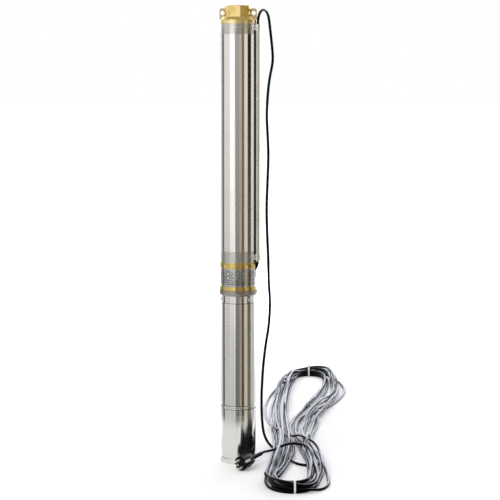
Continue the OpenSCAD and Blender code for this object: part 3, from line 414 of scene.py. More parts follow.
def feed(tree, slot, value):
    """Links a value into a socket, or sets the socket to a plain number, vector or colour."""
    if isinstance(value, Value):
        tree.links.new(value.socket, slot)
    elif slot.type == "RGBA":
        slot.default_value = (*value, 1)
    else:
        slot.default_value = value


print("values add their own Math nodes")

# %% [markdown]
# A second class fills a node tree. One method adds any node from its type, its settings and its inputs. The
# others are short names for the few patterns that every finish here uses: a place, a distance, a noise, a
# fade, a mask, a colour between two colours, and a bump.


# %% Finishes
class Finish:
    """Node tree of a material or of the world, filled one node at a time."""

    def __init__(self, tree):
        self.tree = tree

    def node(self, kind, settings=None, inputs=None, out=0):
        node = self.tree.nodes.new(kind)
        for key, value in (settings or {}).items():
            setattr(node, key, value)
        for key, value in (inputs or {}).items():
            feed(self.tree, node.inputs[key], value)
        return Value(self.tree, node.outputs[out])

    def place(self, stretch=(1, 1, 1)):
        """Place on the object, stretched along each axis."""
        here = self.node("ShaderNodeTexCoord", out="Object")
        return self.node("ShaderNodeMapping", inputs={"Vector": here, "Scale": stretch})

    def along(self, axis):
        """Place along one axis: X, Y, or Z for the height above the floor."""
        return self.node("ShaderNodeSeparateXYZ", inputs={"Vector": self.place()}, out=axis)

    def away(self, stretch=(1, 1, 1)):
        """Distance from the origin. A stretch of (1, 1, 0) makes it the distance from the pump's axis."""
        inputs = {0: self.place(stretch)}
        return self.node("ShaderNodeVectorMath", {"operation": "LENGTH"}, inputs, out="Value")

    def noise(self, scale, detail=3, stretch=(1, 1, 1)):
        inputs = {"Vector": self.place(stretch), "Scale": scale, "Detail": detail}
        return self.node("ShaderNodeTexNoise", inputs=inputs)

    def fade(self, value, low, high, start=0, end=1):
        """Number that goes smoothly from start to end as a value goes from low to high."""
        limits = {"Value": value, "From Min": low, "From Max": high, "To Min": start, "To Max": end}
        return self.node("ShaderNodeMapRange", {"interpolation_type": "SMOOTHSTEP"}, limits)

    def between(self, value, low, high, soft):
        """Mask that is 1 from low to high, with soft edges."""
        return self.fade(value, low - soft, low + soft) * self.fade(value, high - soft, high + soft, 1, 0)

    def mix(self, share, first, second):
        """Colour between two colours."""
        inputs = {0: share, 6: first, 7: second}
        return self.node("ShaderNodeMix", {"data_type": "RGBA"}, inputs, out=2)

    def bump(self, height, strength, depth):
        inputs = {"Height": height, "Strength": strength, "Distance": depth}
        return self.node("ShaderNodeBump", inputs=inputs)


print("finishes add their own nodes")

# %% [markdown]
# Every material has one Principled shader. What is the same all over a surface is set on the shader's own
# socket, and what changes over it is linked in. A piece or a node is then dressed with the material.


# %% Materials
def surface(name, **values):
    """Material with a Principled shader. Names with underscores stand for the shader's sockets."""
    material = bpy.data.materials.new(name)
    material.use_nodes = True
    finish = Finish(material.node_tree)
    finish.material = material
    finish.shader = material.node_tree.nodes["Principled BSDF"]
    paint(finish, **values)
    return finish


def paint(finish, **values):
    """Sets or links sockets of a finish's shader."""
    for key, value in values.items():
        feed(finish.tree, finish.shader.inputs[key.replace("_", " ")], value)


def dress(finish, *pieces):
    """Gives pieces, or nodes of the frame by name, this finish in place of any other."""
    for piece in pieces:
        data = nodes[piece].data if isinstance(piece, str) else piece.data
        data.materials.clear()
        data.materials.append(finish.material)


print("materials can be made, painted and put on")

# %% [markdown]
# The studio is white all round. The world is white for what the camera and the shiny metal see, and lower as
# light, so that colours keep their level.

# %% World
AMBIENT = 0.6


def looked_at(finish):
    """1 for what the camera, shiny metal or clear glass sees, 0 for what only gives light."""
    seen = finish.node("ShaderNodeLightPath", out="Is Camera Ray")
    shiny = finish.node("ShaderNodeLightPath", out="Is Glossy Ray")
    through = finish.node("ShaderNodeLightPath", out="Is Transmission Ray")
    return seen.most(shiny).most(through)


world = bpy.data.worlds.new("white_studio")
scene.world = world
world.use_nodes = True
sky = Finish(world.node_tree)
background = world.node_tree.nodes["Background"]
feed(world.node_tree, background.inputs["Color"], sky.mix(looked_at(sky), (AMBIENT,) * 3, (1, 1, 1)))
feed(world.node_tree, background.inputs["Strength"], 1.0)
print(f"white world, with {AMBIENT} of it as light")

# %% [markdown]
# The floor is a white sheet that runs to the horizon. It gives off a little white of its own to the same
# rays, more further away, so it meets the background without a line.

# %% Floor
FLOOR_SIZE = 60
FLOOR_FADE = (1.0, 2.6)
FLOOR_LIFT = (0.19, 0.8)

bpy.ops.mesh.primitive_plane_add(size=FLOOR_SIZE, location=(0, 0, 0))
floor = bpy.context.object
floor.name = "floor"
white_floor = surface("white_floor", Base_Color=(0.92, 0.92, 0.92), Roughness=0.9, Specular_IOR_Level=0.0)
lift = looked_at(white_floor) * white_floor.fade(white_floor.away(), *FLOOR_FADE, *FLOOR_LIFT)
paint(white_floor, Emission_Color=white_floor.mix(lift, (0, 0, 0), (1, 1, 1)), Emission_Strength=1.0)
dress(white_floor, floor)
print(f"floor of {FLOOR_SIZE} m")

# %% [markdown]
# Two soft lamps light the pump: one at the front left, and a wide cool window behind. The window makes the
# tops of the cable shine and throws the soft shadows towards the camera.


# %% Lamps
def soft_lamp(name, place, aim, size, power, colour):
    """Wide lamp at a place, turned to an aim, which the camera doesn't see."""
    bpy.ops.object.light_add(type="AREA", location=place)
    lamp = bpy.context.object
    lamp.name = name
    lamp.data.shape = "RECTANGLE"
    lamp.data.size, lamp.data.size_y = size
    lamp.data.energy = power
    lamp.data.color = colour
    lamp.rotation_euler = (Vector(aim) - lamp.location).to_track_quat("-Z", "Y").to_euler()
    lamp.visible_camera = False


soft_lamp(
    "front_lamp", place=(-2.2, -2.6, 3.4), aim=(0.05, 0.1, 0.4), size=(2.4, 2.4), power=70, colour=(1, 1, 1))
soft_lamp(
    "back_window", place=(0.4, 3.4, 1.25), aim=(0.15, 0.3, 0.0), size=(3.0, 2.1), power=76,
    colour=(0.87, 0.89, 1.0))
print("two lamps")

# %% [markdown]
# Polished steel has hardly any colour of its own: what it shows is the room. A photographer stands cards
# round the object and shapes the stripes on the tube with them, and the same is done here. A round tube
# mirrors what stands at twice the angle of its surface, so a narrow stripe takes a wide card. Shorter cards
# above them are for the brass head, and one hangs overhead for its shoulder. Two lie on the floor: a pale one
# at the left, and a dark one at the right, which is painted shade for the floor round the hank's front. A
# wide bright one far behind, at the window, is for the tops of the cable. They show only to shiny rays, throw
# no shadow, and most are darker towards their lower edge. An upright card is given by the angles where it
# starts and ends, its levels, and its colours at foot and top.

# %% Cards for the reflections
CARD_DISTANCE = 0.5
CARD_LEVELS = (0.0, 1.118)
HEAD_LEVELS = (1.118, 1.7)
CARDS = {
    "far_left": (-162, -121, CARD_LEVELS, (0.66, 0.66, 0.65), (0.82, 0.82, 0.82)),
    "left_edge": (-121, -97, CARD_LEVELS, (0.14, 0.14, 0.13), (0.22, 0.22, 0.21)),
    "left_wall": (-95, -52, CARD_LEVELS, (0.60, 0.60, 0.59), (0.90, 0.90, 0.89)),
    "white_wall": (-51, -23, CARD_LEVELS, (0.60, 0.60, 0.58), (1.60, 1.60, 1.56)),
    "camera_side": (-20, 8, CARD_LEVELS, (0.19, 0.18, 0.16), (0.44, 0.42, 0.38)),
    "middle_light": (8, 21, CARD_LEVELS, (0.38, 0.35, 0.29), (0.58, 0.54, 0.45)),
    "middle_dark": (21, 38, CARD_LEVELS, (0.09, 0.08, 0.05), (0.22, 0.19, 0.13)),
    "beige_wall": (38.5, 60, CARD_LEVELS, (0.62, 0.57, 0.49), (0.94, 0.85, 0.69)),
    "brown_door": (60, 88, CARD_LEVELS, (0.20, 0.17, 0.13), (0.02, 0.014, 0.008)),
    "right_edge": (90, 126, CARD_LEVELS, (0.56, 0.57, 0.58), (0.88, 0.89, 0.90)),
    "head_front": (-10, 34, HEAD_LEVELS, (0.44, 0.41, 0.35), (0.60, 0.56, 0.48)),
    "head_right": (34, 100, HEAD_LEVELS, (0.42, 0.36, 0.22), (0.58, 0.50, 0.31)),
}
OVERHEAD = (0.46, 0.42, 0.34)
FLOOR_SHADE_TONE = (0.02, 0.02, 0.022)
PALE = (0.87, 0.87, 0.85)
WINDOW = (3.3, 3.4, 3.8)
UPRIGHT = (math.pi / 2, 0, 0)
FACING_UP = (0, 0, 0)
FACING_DOWN = (math.pi, 0, 0)
FLOOR_SHADE_TURN = (0, 0, math.radians(29))


def make_card(name, size, place, turn, foot, top):
    """Card of one size that only shiny surfaces see, with a colour at its foot and one at its top."""
    bpy.ops.mesh.primitive_plane_add(size=1, location=place, rotation=turn)
    card = bpy.context.object
    card.name = f"card_{name}"
    card.scale = (*size, 1)
    card.visible_camera = False
    card.visible_diffuse = False
    card.visible_shadow = False
    card.visible_transmission = False
    paper = surface(f"paper_{name}", Base_Color=(0, 0, 0), Roughness=1.0, Specular_IOR_Level=0.0)
    rise = paper.along("Y")
    shade = paper.mix(paper.fade(rise, -0.5, 0.5), foot, top)
    paint(paper, Emission_Color=shade, Emission_Strength=1.0)
    dress(paper, card)


def stand_card(name, start, end, levels, foot, top):
    """Upright card seen from the pump between two angles, from the camera's side round to the right."""
    middle = math.radians((start + end) / 2)
    width = 2 * CARD_DISTANCE * math.tan(math.radians((end - start) / 2))
    place = Vector((math.sin(middle), -math.cos(middle), 0)) * CARD_DISTANCE
    place.z = sum(levels) / 2
    make_card(name, (width, levels[1] - levels[0]), place, (math.pi / 2, 0, middle), foot, top)


for card_name, card in CARDS.items():
    stand_card(card_name, *card)
make_card("window", (5.0, 2.2), (0.3, 3.2, 1.12), UPRIGHT, WINDOW, WINDOW)
make_card("pale_floor", (0.62, 0.75), (-0.28, -0.16, 0.0004), FACING_UP, PALE, PALE)
make_card("overhead", (2.4, 2.0), (0.1, -0.5, 2.0), FACING_DOWN, OVERHEAD, OVERHEAD)
# Painted shade: this dark card, seen only in the shiny metal, stands for the shade on the floor round the
# hank's front.
make_card("painted_floor_shade", (0.62, 0.30), (0.32, -0.12, 0.0008), FLOOR_SHADE_TURN, FLOOR_SHADE_TONE, FLOOR_SHADE_TONE)
print(f"{len(CARDS)} cards at {CARD_DISTANCE} m, and four more")

# %% [markdown]
# Most finishes here are variations on two themes. A metal has a bright and a dull tone in soft clouds, and
# fine marks from the tool that made it. Something moulded has a colour, a faint shade and a grain. Each theme
# is one function, and each finish then adds what is its own.

# %% Two themes
DULL_CLOUDS = (0.42, 0.72)
SHADE_CLOUDS = (0.35, 0.7)


def worked_metal(name, bright, dull, rough, cloud=40, marks=(8, 8, 1200), mark_depth=0.0002):
    """Metal with soft clouds and with tool marks that run across the axis with the largest stretch."""
    metal = surface(name, Metallic=1.0)
    metal.dull = metal.fade(metal.noise(cloud, 4), *DULL_CLOUDS)
    metal.marks = metal.noise(1, 2, marks)
    metal.tone = metal.mix(metal.dull, bright, dull)
    metal.rough = rough + 0.10 * metal.dull + 0.05 * metal.marks
    paint(metal, Base_Color=metal.tone, Roughness=metal.rough)
    paint(metal, Normal=metal.bump(metal.marks, 0.25, mark_depth))
    return metal


def moulded(name, colour, shade, rough, grain=700, depth=0.00006, cloud=30):
    """Plastic or rubber from a mould, with a fine grain and a faint change of shade."""
    stuff = surface(name)
    stuff.cloud = stuff.fade(stuff.noise(cloud, 3), *SHADE_CLOUDS)
    stuff.grain = stuff.noise(grain, 2)
    stuff.tone = stuff.mix(stuff.cloud, colour, shade)
    paint(stuff, Base_Color=stuff.tone, Roughness=rough + 0.08 * stuff.cloud + 0.06 * stuff.grain)
    paint(stuff, Normal=stuff.bump(stuff.grain, 0.4, depth))
    return stuff


print("metals and moulded stuff")

# %% [markdown]
# The three tubes are drawn stainless steel, polished with a belt that runs round them. They mirror the room
# in upright stripes. Where the casing is rolled on to its spigots the polish is gone, and a weld down the
# back leaves a faint line. Both are masks made from the place on the tube, and so are the dark joints.

# %% Polished tubes
ROLLED_BANDS = ((0.5155, 0.5435), (1.0835, 1.1095))
ROLLED_EDGE = 0.0012
ROLLED_TONE = (0.58, 0.575, 0.55)
TUBE_JOINTS = ((0.1395, 0.1410), (0.1490, 0.1505), (0.4112, 0.4125))
JOINT_EDGE = 0.0004
JOINT_TONE = (0.10, 0.10, 0.10)
SEAM_ANGLE = 1.9
SEAM_HALF = 0.02
SEAM_EDGE = 0.01
TUBE_BRIGHT = (0.80, 0.79, 0.765)

tube = worked_metal("polished_tube", TUBE_BRIGHT, (0.74, 0.73, 0.705), 0.07, cloud=7, marks=(5, 5, 700))
level = tube.along("Z")
low_band, high_band = (tube.between(level, *band, ROLLED_EDGE) for band in ROLLED_BANDS)
rolled = low_band.most(high_band)
east, north = tube.along("X"), tube.along("Y")
around = east.math("ARCTAN2", north, east)
seam = tube.between(around, SEAM_ANGLE - SEAM_HALF, SEAM_ANGLE + SEAM_HALF, SEAM_EDGE)
tube_tone = tube.mix(0.9 * rolled + 0.2 * seam, tube.tone, ROLLED_TONE)
for joint in TUBE_JOINTS:
    tube_tone = tube.mix(0.8 * tube.between(level, *joint, JOINT_EDGE), tube_tone, JOINT_TONE)
paint(tube, Base_Color=tube_tone, Roughness=tube.rough + 0.10 * rolled + 0.15 * seam)
dress(tube, "pump_casing", "motor_shell", "capacitor_shell")
print("tubes polished, with", len(ROLLED_BANDS), "rolled bands")

# %% [markdown]
# The outlet head and the intake casting are brass: cast, then turned and milled, and handled since. Fresh
# brass is nearly yellow, and handled brass goes brown in soft patches. The intake has stood in water, so it
# is a little duller. Inside it, behind the strainer, it is painted nearly black as painted shade, and the
# rope eyes and the rim are painted pale as a painted highlight.

# %% Brass
EYE_HIGHLIGHT_SPAN = (0.034, 0.038)
EYES_FOOT = (1.118, 1.120)
RIM_HIGHLIGHT_BAND = (1.1095, 1.1170)
HIGHLIGHT_TONE = (0.96, 0.90, 0.74)
BROWN_PATCHES = (0.55, 0.8)
BROWN_TONE = (0.40, 0.26, 0.09)
INTAKE_TOP = (0.56, 0.58)
INTAKE_SHADE_RADII = (0.0405, 0.0425)
INTAKE_SHADE_TONE = (0.05, 0.04, 0.022)

brass = worked_metal(
    "machined_brass", (0.84, 0.65, 0.26), (0.66, 0.47, 0.17), 0.17, cloud=46, marks=(30, 30, 1500))
brass_grain = brass.noise(1400, 2)
brass_patina = brass.fade(brass.noise(120, 5), *BROWN_PATCHES)
brass_tone = brass.mix(0.25 * brass_patina, brass.tone, BROWN_TONE)
brass_level, brass_east = brass.along("Z"), brass.along("X")
intake_part = brass.fade(brass_level, *INTAKE_TOP, 1, 0)
# Painted shade: the brass inside the intake, behind the strainer, is made nearly black and rougher.
intake_shade = intake_part * brass.fade(brass.away((1, 1, 0)), *INTAKE_SHADE_RADII, 1, 0)
brass_tone = brass.mix(0.18 * intake_part, brass_tone, BROWN_TONE)
brass_tone = brass.mix(intake_shade, brass_tone, INTAKE_SHADE_TONE)
# Painted highlight: the rope eyes and the rim of the head are made pale.
eyes = brass.fade(brass_east.math("ABSOLUTE", brass_east), *EYE_HIGHLIGHT_SPAN) * brass.fade(brass_level, *EYES_FOOT)
painted_highlight = (0.55 * eyes).most(0.3 * brass.between(brass_level, *RIM_HIGHLIGHT_BAND, 0.001))
brass_tone = brass.mix(painted_highlight, brass_tone, HIGHLIGHT_TONE)
paint(brass, Base_Color=brass_tone, Roughness=brass.rough + 0.12 * brass_patina + 0.3 * intake_shade)
paint(brass, Normal=brass.bump(brass.marks + 0.3 * brass_grain, 0.1, 0.0002))
dress(brass, "outlet_head", "intake_bracket")
print("brass on the head and the intake")

# %% [markdown]
# Three pieces are made of sheet. The strainer is perforated, and the guard and its clips are bent from bright
# sheet with the rolling marks along them. The guard's side walls carry painted shade near the casing.

# %% Sheet metal
strainer_sheet = worked_metal("perforated_sheet", (0.54, 0.54, 0.53), (0.44, 0.44, 0.43), 0.14, cloud=60)
dress(strainer_sheet, "strainer")

GUARD_WALLS = (0.0049, 0.0054)
GUARD_FOOT = (0.0484, 0.0492)
WALL_SHADE_TONE = (0.06, 0.058, 0.055)
guard_sheet = worked_metal("guard_sheet", (0.80, 0.79, 0.78), (0.70, 0.69, 0.68), 0.14, 20, (1600, 1600, 6))
# Painted shade: the guard's side walls are made nearly black, up to a little way out from the casing.
aside = guard_sheet.along("Y") * math.cos(GUARD_TURN) - guard_sheet.along("X") * math.sin(GUARD_TURN)
guard_wall_shade = guard_sheet.fade(aside.math("ABSOLUTE", aside), *GUARD_WALLS)
guard_wall_shade *= guard_sheet.fade(guard_sheet.away((1, 1, 0)), *GUARD_FOOT, 1, 0)
paint(guard_sheet, Base_Color=guard_sheet.mix(guard_wall_shade, guard_sheet.tone, WALL_SHADE_TONE))
dress(guard_sheet, "cable_guard")

clip_sheet = worked_metal("clip_sheet", (0.88, 0.88, 0.87), (0.78, 0.78, 0.77), 0.24, 60, (1600, 1600, 30))
dress(clip_sheet, "guard_clips")
print("strainer, guard and clips")

# %% [markdown]
# The flange is cast and only satin above its polished neck. The foot and the joint ring are turned on a
# lathe, which leaves fine rings, and the screws are plain bright steel.

# %% Casting, turned steel and screws
NECK_TOP = (0.4297, 0.4313)
satin_cast = worked_metal("satin_casting", (0.42, 0.41, 0.38), (0.32, 0.31, 0.28), 0.30, cloud=90)
cast_skin = satin_cast.noise(600, 4)
neck = satin_cast.fade(satin_cast.along("Z"), *NECK_TOP, 1, 0)
paint(satin_cast, Base_Color=satin_cast.mix(neck, satin_cast.tone, TUBE_BRIGHT))
paint(satin_cast, Roughness=satin_cast.rough - 0.22 * neck)
paint(satin_cast, Normal=satin_cast.bump(cast_skin * (1 - neck), 0.3, 0.0002))
dress(satin_cast, "motor_flange")

turned_steel = worked_metal("turned_steel", (0.78, 0.77, 0.745), (0.68, 0.67, 0.65), 0.15, 50, (20, 20, 2200))
dress(turned_steel, "lower_bracket", "base_cap", "top_bracket")

screw_steel = worked_metal("screw_steel", (0.74, 0.74, 0.74), (0.60, 0.60, 0.60), 0.20, 200, (900, 900, 900))
dress(screw_steel, "neck_screws", "guard_screws")
print("flange, turned rings and screws")

# %% [markdown]
# Inside, where only a look into the outlet or through the strainer reaches, are ground shafts and bearings,
# moulded stages, rubber and ceramic seals, varnished laminations and enamelled copper. They are dressed as
# carefully, because someone may take the part apart.

# %% Inside pieces
STAGES = [f"{kind}_{i}" for kind in ("stage_bowl", "impeller") for i in range(1, 9)]

ground_steel = worked_metal("ground_steel", (0.72, 0.72, 0.73), (0.62, 0.62, 0.63), 0.16, 120, (60, 60, 3000))
dress(ground_steel, "pump_shaft", "shaft_coupling", "motor_shaft", "shaft_nut", "shaft_sleeve")
dress(ground_steel, "bearing_outer_rings", "bearing_inner_rings", "bearing_balls", "valve_spring")

stage_plastic = moulded("stage_plastic", (0.82, 0.81, 0.76), (0.76, 0.74, 0.68), 0.38)
dress(stage_plastic, *STAGES, "suction_plate", "valve_guide", "discharge_spider")

valve_plastic = moulded("valve_plastic", (0.10, 0.11, 0.12), (0.07, 0.075, 0.08), 0.36)
dress(valve_plastic, "valve_poppet")

seal_rubber = moulded("seal_rubber", (0.030, 0.030, 0.030), (0.045, 0.043, 0.040), 0.55, grain=1200)
dress(seal_rubber, "discharge_bush", "o_rings", "seal_head", "lead_gland", "capacitor_cup")

seal_ceramic = moulded("lapped_ceramic", (0.88, 0.87, 0.84), (0.84, 0.82, 0.78), 0.16, 2000, 0.00002)
dress(seal_ceramic, "seal_seat")

laminations = worked_metal(
    "laminations", (0.34, 0.34, 0.35), (0.25, 0.24, 0.24), 0.42, 60, (3, 3, 2000), 0.0004)
dress(laminations, "stator_core", "rotor_core")

copper = worked_metal(
    "enamelled_copper", (0.62, 0.30, 0.15), (0.46, 0.20, 0.09), 0.24, 80, (900, 900, 60), 0.0004)
dress(copper, "stator_winding")

capacitor_can = moulded("capacitor_can", (0.75, 0.77, 0.80), (0.70, 0.72, 0.75), 0.30)
dress(capacitor_can, "capacitor")
print(f"{len(STAGES)} stage pieces and the motor's inside")

# %% [markdown]
# The cable's sheath is black, smooth and a little waxy, so from a low camera its top mirrors the pale window
# and its sides stay black. A thin sheen gives the waxy edge. A little floor dust and a fine grain keep it
# from looking like glass. The plug is the same black with a fine moulded grain.

# %% Cable, plug and contacts
DUST_PATCHES = (0.45, 0.75)
CLEAN_SHEATH = (0.002, 0.002, 0.003)
DUSTY_SHEATH = (0.005, 0.005, 0.006)

sheath = surface("cable_sheath", Specular_IOR_Level=0.5, Specular_Tint=(0.10, 0.10, 0.11))
paint(sheath, Sheen_Weight=0.05, Sheen_Roughness=0.3, Sheen_Tint=(0.85, 0.86, 1.0))
dust = sheath.fade(sheath.noise(24, 4), *DUST_PATCHES)
sheath_grain = sheath.noise(520, 2)
paint(sheath, Base_Color=sheath.mix(dust, CLEAN_SHEATH, DUSTY_SHEATH))
paint(sheath, Roughness=0.27 + 0.08 * dust + 0.04 * sheath_grain)
paint(sheath, Normal=sheath.bump(sheath_grain, 0.05, 0.00005))
dress(sheath, cable, "motor_lead", "cord_drop", "cord_hank", "cord_tail")

plug_black = moulded("plug_moulding", (0.002, 0.002, 0.002), (0.004, 0.004, 0.004), 0.24, 1500, 0.00004)
paint(plug_black, Specular_Tint=(0.08, 0.08, 0.085))
dress(plug_black, "plug_body", "plug_boot")

nickel = worked_metal("nickel_plate", (0.95, 0.92, 0.84), (0.88, 0.85, 0.76), 0.32, 300, (900, 900, 900))
paint(nickel, Metallic=0.4)
dress(nickel, "plug_contacts")
print("cable, plug and contacts in black and nickel")

# %% [markdown]
# Small trim is modelled by hand. The same few steps come back each time: make one piece active, pick edges or
# faces by their place, run an operator, and at the end put the piece's place into its mesh.


# %% Hand tools
def only(piece):
    """Makes one piece the only selected one."""
    bpy.ops.object.select_all(action="DESELECT")
    piece.select_set(True)
    bpy.context.view_layer.objects.active = piece


def pick(piece, kind, test):
    """Opens a piece in edit mode with the edges or faces selected that pass a test."""
    only(piece)
    bpy.ops.object.mode_set(mode="EDIT")
    bpy.ops.mesh.select_mode(type=kind)
    bpy.ops.mesh.select_all(action="DESELECT")
    bpy.ops.object.mode_set(mode="OBJECT")
    mesh = piece.data
    for part in mesh.edges if kind == "EDGE" else mesh.polygons:
        corners = [mesh.vertices[i].co for i in part.vertices]
        part.select = test(corners)
    bpy.ops.object.mode_set(mode="EDIT")


def close_edit():
    """Leaves edit mode."""
    bpy.ops.object.mode_set(mode="OBJECT")


def seat(piece):
    """Puts a piece's place, turn and size into its mesh."""
    only(piece)
    bpy.ops.object.transform_apply(location=True, rotation=True, scale=True)


def harden(piece):
    """Applies all modifiers of a piece."""
    only(piece)
    for modifier in list(piece.modifiers):
        bpy.ops.object.modifier_apply(modifier=modifier.name)


def join(name, pieces):
    """One piece made of several."""
    bpy.ops.object.select_all(action="DESELECT")
    for piece in pieces:
        piece.select_set(True)
    bpy.context.view_layer.objects.active = pieces[0]
    bpy.ops.object.join()
    joined = bpy.context.object
    joined.name = name
    return joined


def smooth(piece, degrees):
    """Shades a piece smoothly, except over edges sharper than an angle."""
    only(piece)
    bpy.ops.object.shade_smooth_by_angle(angle=math.radians(degrees))


print("hand tools are ready")

# %% [markdown]
# The outlet takes a pipe, so its bore carries a thread. The model leaves threads plain, so one is added
# here: a small triangle inside the bore, drawn up round the axis by a Screw modifier, once for every turn.

# %% Outlet thread
THREAD_R = 22.4 * MM
THREAD_PITCH = 2.309 * MM
THREAD_TURNS = 9
THREAD_SIZE = 1.1 * MM
THREAD_SIDES = 3
THREAD_STEPS = 72
MERGE = 0.01 * MM


def coil(name, sides, size, place, pitch, turns, steps):
    """Small outline with a number of sides, drawn up round the axis into a coil and closed at both ends."""
    bpy.ops.mesh.primitive_circle_add(
        vertices=sides, radius=size, location=place, rotation=(math.pi / 2, -math.pi / 2, 0))
    piece = bpy.context.object
    piece.name = name
    seat(piece)
    screw = piece.modifiers.new("turns", "SCREW")
    screw.axis = "Z"
    screw.angle = 2 * math.pi
    screw.screw_offset = pitch
    screw.iterations = turns
    screw.steps = steps
    screw.render_steps = steps
    harden(piece)
    pick(piece, "EDGE", lambda corners: True)
    bpy.ops.mesh.remove_doubles(threshold=MERGE)
    bpy.ops.mesh.fill_holes(sides=sides)
    bpy.ops.mesh.normals_make_consistent(inside=False)
    close_edit()
    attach(piece, "pump")
    return piece


thread_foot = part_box("outlet_head")[1].z - (THREAD_TURNS + 1) * THREAD_PITCH
thread = coil(
    "outlet_thread", THREAD_SIDES, THREAD_SIZE, (THREAD_R, 0, thread_foot), THREAD_PITCH, THREAD_TURNS,
    THREAD_STEPS)
dress(brass, thread)
print(f"{thread.name}: {len(thread.data.polygons)} faces")

# %% [markdown]
# Above the valve's disc sits a coil spring, which is pressed together when the water lifts the disc. The
# spring is drawn again in the same way, from a small ring, in place of the model's solid one.

# %% Valve spring
SPRING_R = 7.5 * MM
SPRING_WIRE = 0.65 * MM
SPRING_TURNS = 5
SPRING_SIDES = 12
SPRING_STEPS = 36

spring_low, spring_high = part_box("valve_spring")
spring_height = spring_high.z - spring_low.z
spring_pitch = (spring_height - 2 * SPRING_WIRE) / SPRING_TURNS
spring_foot = (SPRING_R, 0, spring_low.z + SPRING_WIRE)
spring = coil(
    "valve_spring_coil", SPRING_SIDES, SPRING_WIRE, spring_foot, spring_pitch, SPRING_TURNS, SPRING_STEPS)
smooth(spring, 40)
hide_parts("valve_spring")
dress(ground_steel, spring)
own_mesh(spring)

# %% [markdown]
# The guard's clips are held by pan-head screws with a cross recess. One is modelled pointing up, from a
# cylinder with a bevelled rim and two slots cut across it, and then copied to its four places on the clips.

# %% Guard screws
SCREW_R = 3.6 * MM
SCREW_H = 2.2 * MM
SCREW_FROM_AXIS = 46.2 * MM
SCREW_TURN = math.radians(15.86)
SCREW_SIDES = 40
RECESS = (4.4 * MM, 0.95 * MM, 1.5 * MM)
RECESS_TURN = 0.4
RECESS_SPREAD = 0.7


def guard_screw():
    """One screw head standing on the origin."""
    bpy.ops.mesh.primitive_cylinder_add(
        vertices=SCREW_SIDES, radius=SCREW_R, depth=SCREW_H, location=(0, 0, SCREW_H / 2))
    head = bpy.context.object
    seat(head)
    pick(head, "EDGE", lambda corners: min(c.z for c in corners) > 0.9 * SCREW_H)
    bpy.ops.mesh.bevel(offset=0.55 * SCREW_H, segments=5, affect="EDGES", clamp_overlap=True)
    close_edit()
    for turn in (0, math.pi / 2):
        bpy.ops.mesh.primitive_cube_add(size=1, location=(0, 0, SCREW_H), rotation=(0, 0, turn))
        slot_cutter = bpy.context.object
        slot_cutter.scale = RECESS
        cut = head.modifiers.new("slot", "BOOLEAN")
        cut.operation = "DIFFERENCE"
        cut.object = slot_cutter
        harden(head)
        bpy.data.objects.remove(slot_cutter)
    return head


def place_screws(pattern):
    """Copies of one screw at the clips' tabs, joined into one piece."""
    low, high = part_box("guard_screws")
    copies = []
    for level in (low.z + SCREW_R, high.z - SCREW_R):
        for side in (-1, 1):
            turn = GUARD_TURN + side * SCREW_TURN
            copy = pattern.copy()
            copy.data = pattern.data.copy()
            scene.collection.objects.link(copy)
            spot = Matrix.Rotation(turn, 4, "Z") @ Matrix.Translation((SCREW_FROM_AXIS, 0, level))
            tightened = RECESS_TURN + RECESS_SPREAD * level * side
            tip = Matrix.Rotation(math.pi / 2, 4, "Y") @ Matrix.Rotation(tightened, 4, "Z")
            copy.data.transform(spot @ tip)
            copies.append(copy)
    bpy.data.objects.remove(pattern)
    return join("guard_screw_heads", copies)


guard_screws = place_screws(guard_screw())
smooth(guard_screws, 35)
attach(guard_screws, "pump")
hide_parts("guard_screws")
dress(screw_steel, guard_screws)
print(f"{guard_screws.name}: {len(guard_screws.data.polygons)} faces")

# %% [markdown]
# Two white cable ties hold the hank, one at each end. A strap that is pulled tight takes the shape of a skin
# round all strands. So a short rod is set on every strand that passes the tie, the rods are wrapped in their
# convex hull, the hull loses its two ends, and what is left is thickened.

# %% Strap of a tie
TIE_WIDTH = 4.6 * MM
TIE_THICK = 1.2 * MM
TIE_GAP = 0.5 * MM
TIE_REACH = 36
ROD_SIDES = 24


def strands_at(station):
    """Places across the hank and up of the strands that pass a station, and the way across."""
    side = hank_sides(HANK_LINE)[station]
    along = np.array([side[1], -side[0]])
    off = laid[:, :2] - HANK_LINE[station, :2]
    near = (np.abs(off @ along) < STEP) & (np.abs(off @ side) < TIE_REACH)
    return np.stack([off[near] @ side, laid[near, 2]], axis=1) * MM, side


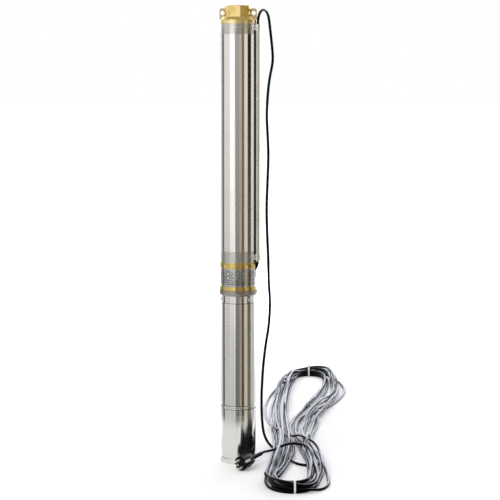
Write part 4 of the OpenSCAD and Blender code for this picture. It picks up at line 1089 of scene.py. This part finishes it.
def tie_strap(strands):
    """A band of the tie's width, wrapped tightly round all strands."""
    radius = CABLE_R * MM + TIE_GAP
    rods = []
    for across, up in strands:
        place = (across, 0, max(up, radius + TIE_THICK))
        bpy.ops.mesh.primitive_cylinder_add(
            vertices=ROD_SIDES, radius=radius, depth=TIE_WIDTH, location=place, rotation=(math.pi / 2, 0, 0))
        rods.append(bpy.context.object)
        seat(rods[-1])
    strap = join("strap", rods)
    pick(strap, "FACE", lambda corners: True)
    bpy.ops.mesh.convex_hull()
    close_edit()
    pick(strap, "FACE", lambda corners: max(abs(c.y - corners[0].y) for c in corners) < TIE_WIDTH / 10)
    bpy.ops.mesh.delete(type="FACE")
    close_edit()
    wall = strap.modifiers.new("wall", "SOLIDIFY")
    wall.thickness = TIE_THICK
    wall.offset = 1
    harden(strap)
    return strap


print(f"straps {1000 * TIE_WIDTH:.1f} mm wide and {1000 * TIE_THICK:.1f} mm thick")

# %% [markdown]
# A small locking head with rounded edges sits on top of each strap. Both are shaped lying along the axes, and
# then turned and moved to their station of the hank.

# %% Cable ties
TIE_HEAD = (7.5 * MM, 6.4 * MM, 5 * MM)
TIE_HEAD_EDGE = 0.8 * MM

tie_nylon = moulded("tie_nylon", (0.86, 0.86, 0.85), (0.80, 0.80, 0.79), 0.35, grain=900)


def cable_tie(name, station):
    """One tie round the hank at a station: its strap, and its head on the highest strand."""
    strands, side = strands_at(station)
    strap = tie_strap(strands)
    across, up = strands[strands[:, 1].argmax()]
    high = up + CABLE_R * MM + TIE_GAP
    bpy.ops.mesh.primitive_cube_add(size=1, location=(across, 0, high + TIE_HEAD[2] / 2))
    head = bpy.context.object
    head.scale = TIE_HEAD
    seat(head)
    pick(head, "EDGE", lambda corners: True)
    bpy.ops.mesh.bevel(offset=TIE_HEAD_EDGE, segments=3, affect="EDGES")
    close_edit()
    tie = join(name, [strap, head])
    turn = math.atan2(side[1], side[0])
    middle = (*(HANK_LINE[station, :2] * MM), 0)
    tie.data.transform(Matrix.Translation(middle) @ Matrix.Rotation(turn, 4, "Z"))
    smooth(tie, 40)
    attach(tie, "pump")
    dress(tie_nylon, tie)
    print(f"{name}: round {len(strands)} points of strands, {1000 * high:.0f} mm high")
    return tie


ties = [cable_tie("hank_tie_rear", REAR_TIE), cable_tie("hank_tie_front", FRONT_TIE)]
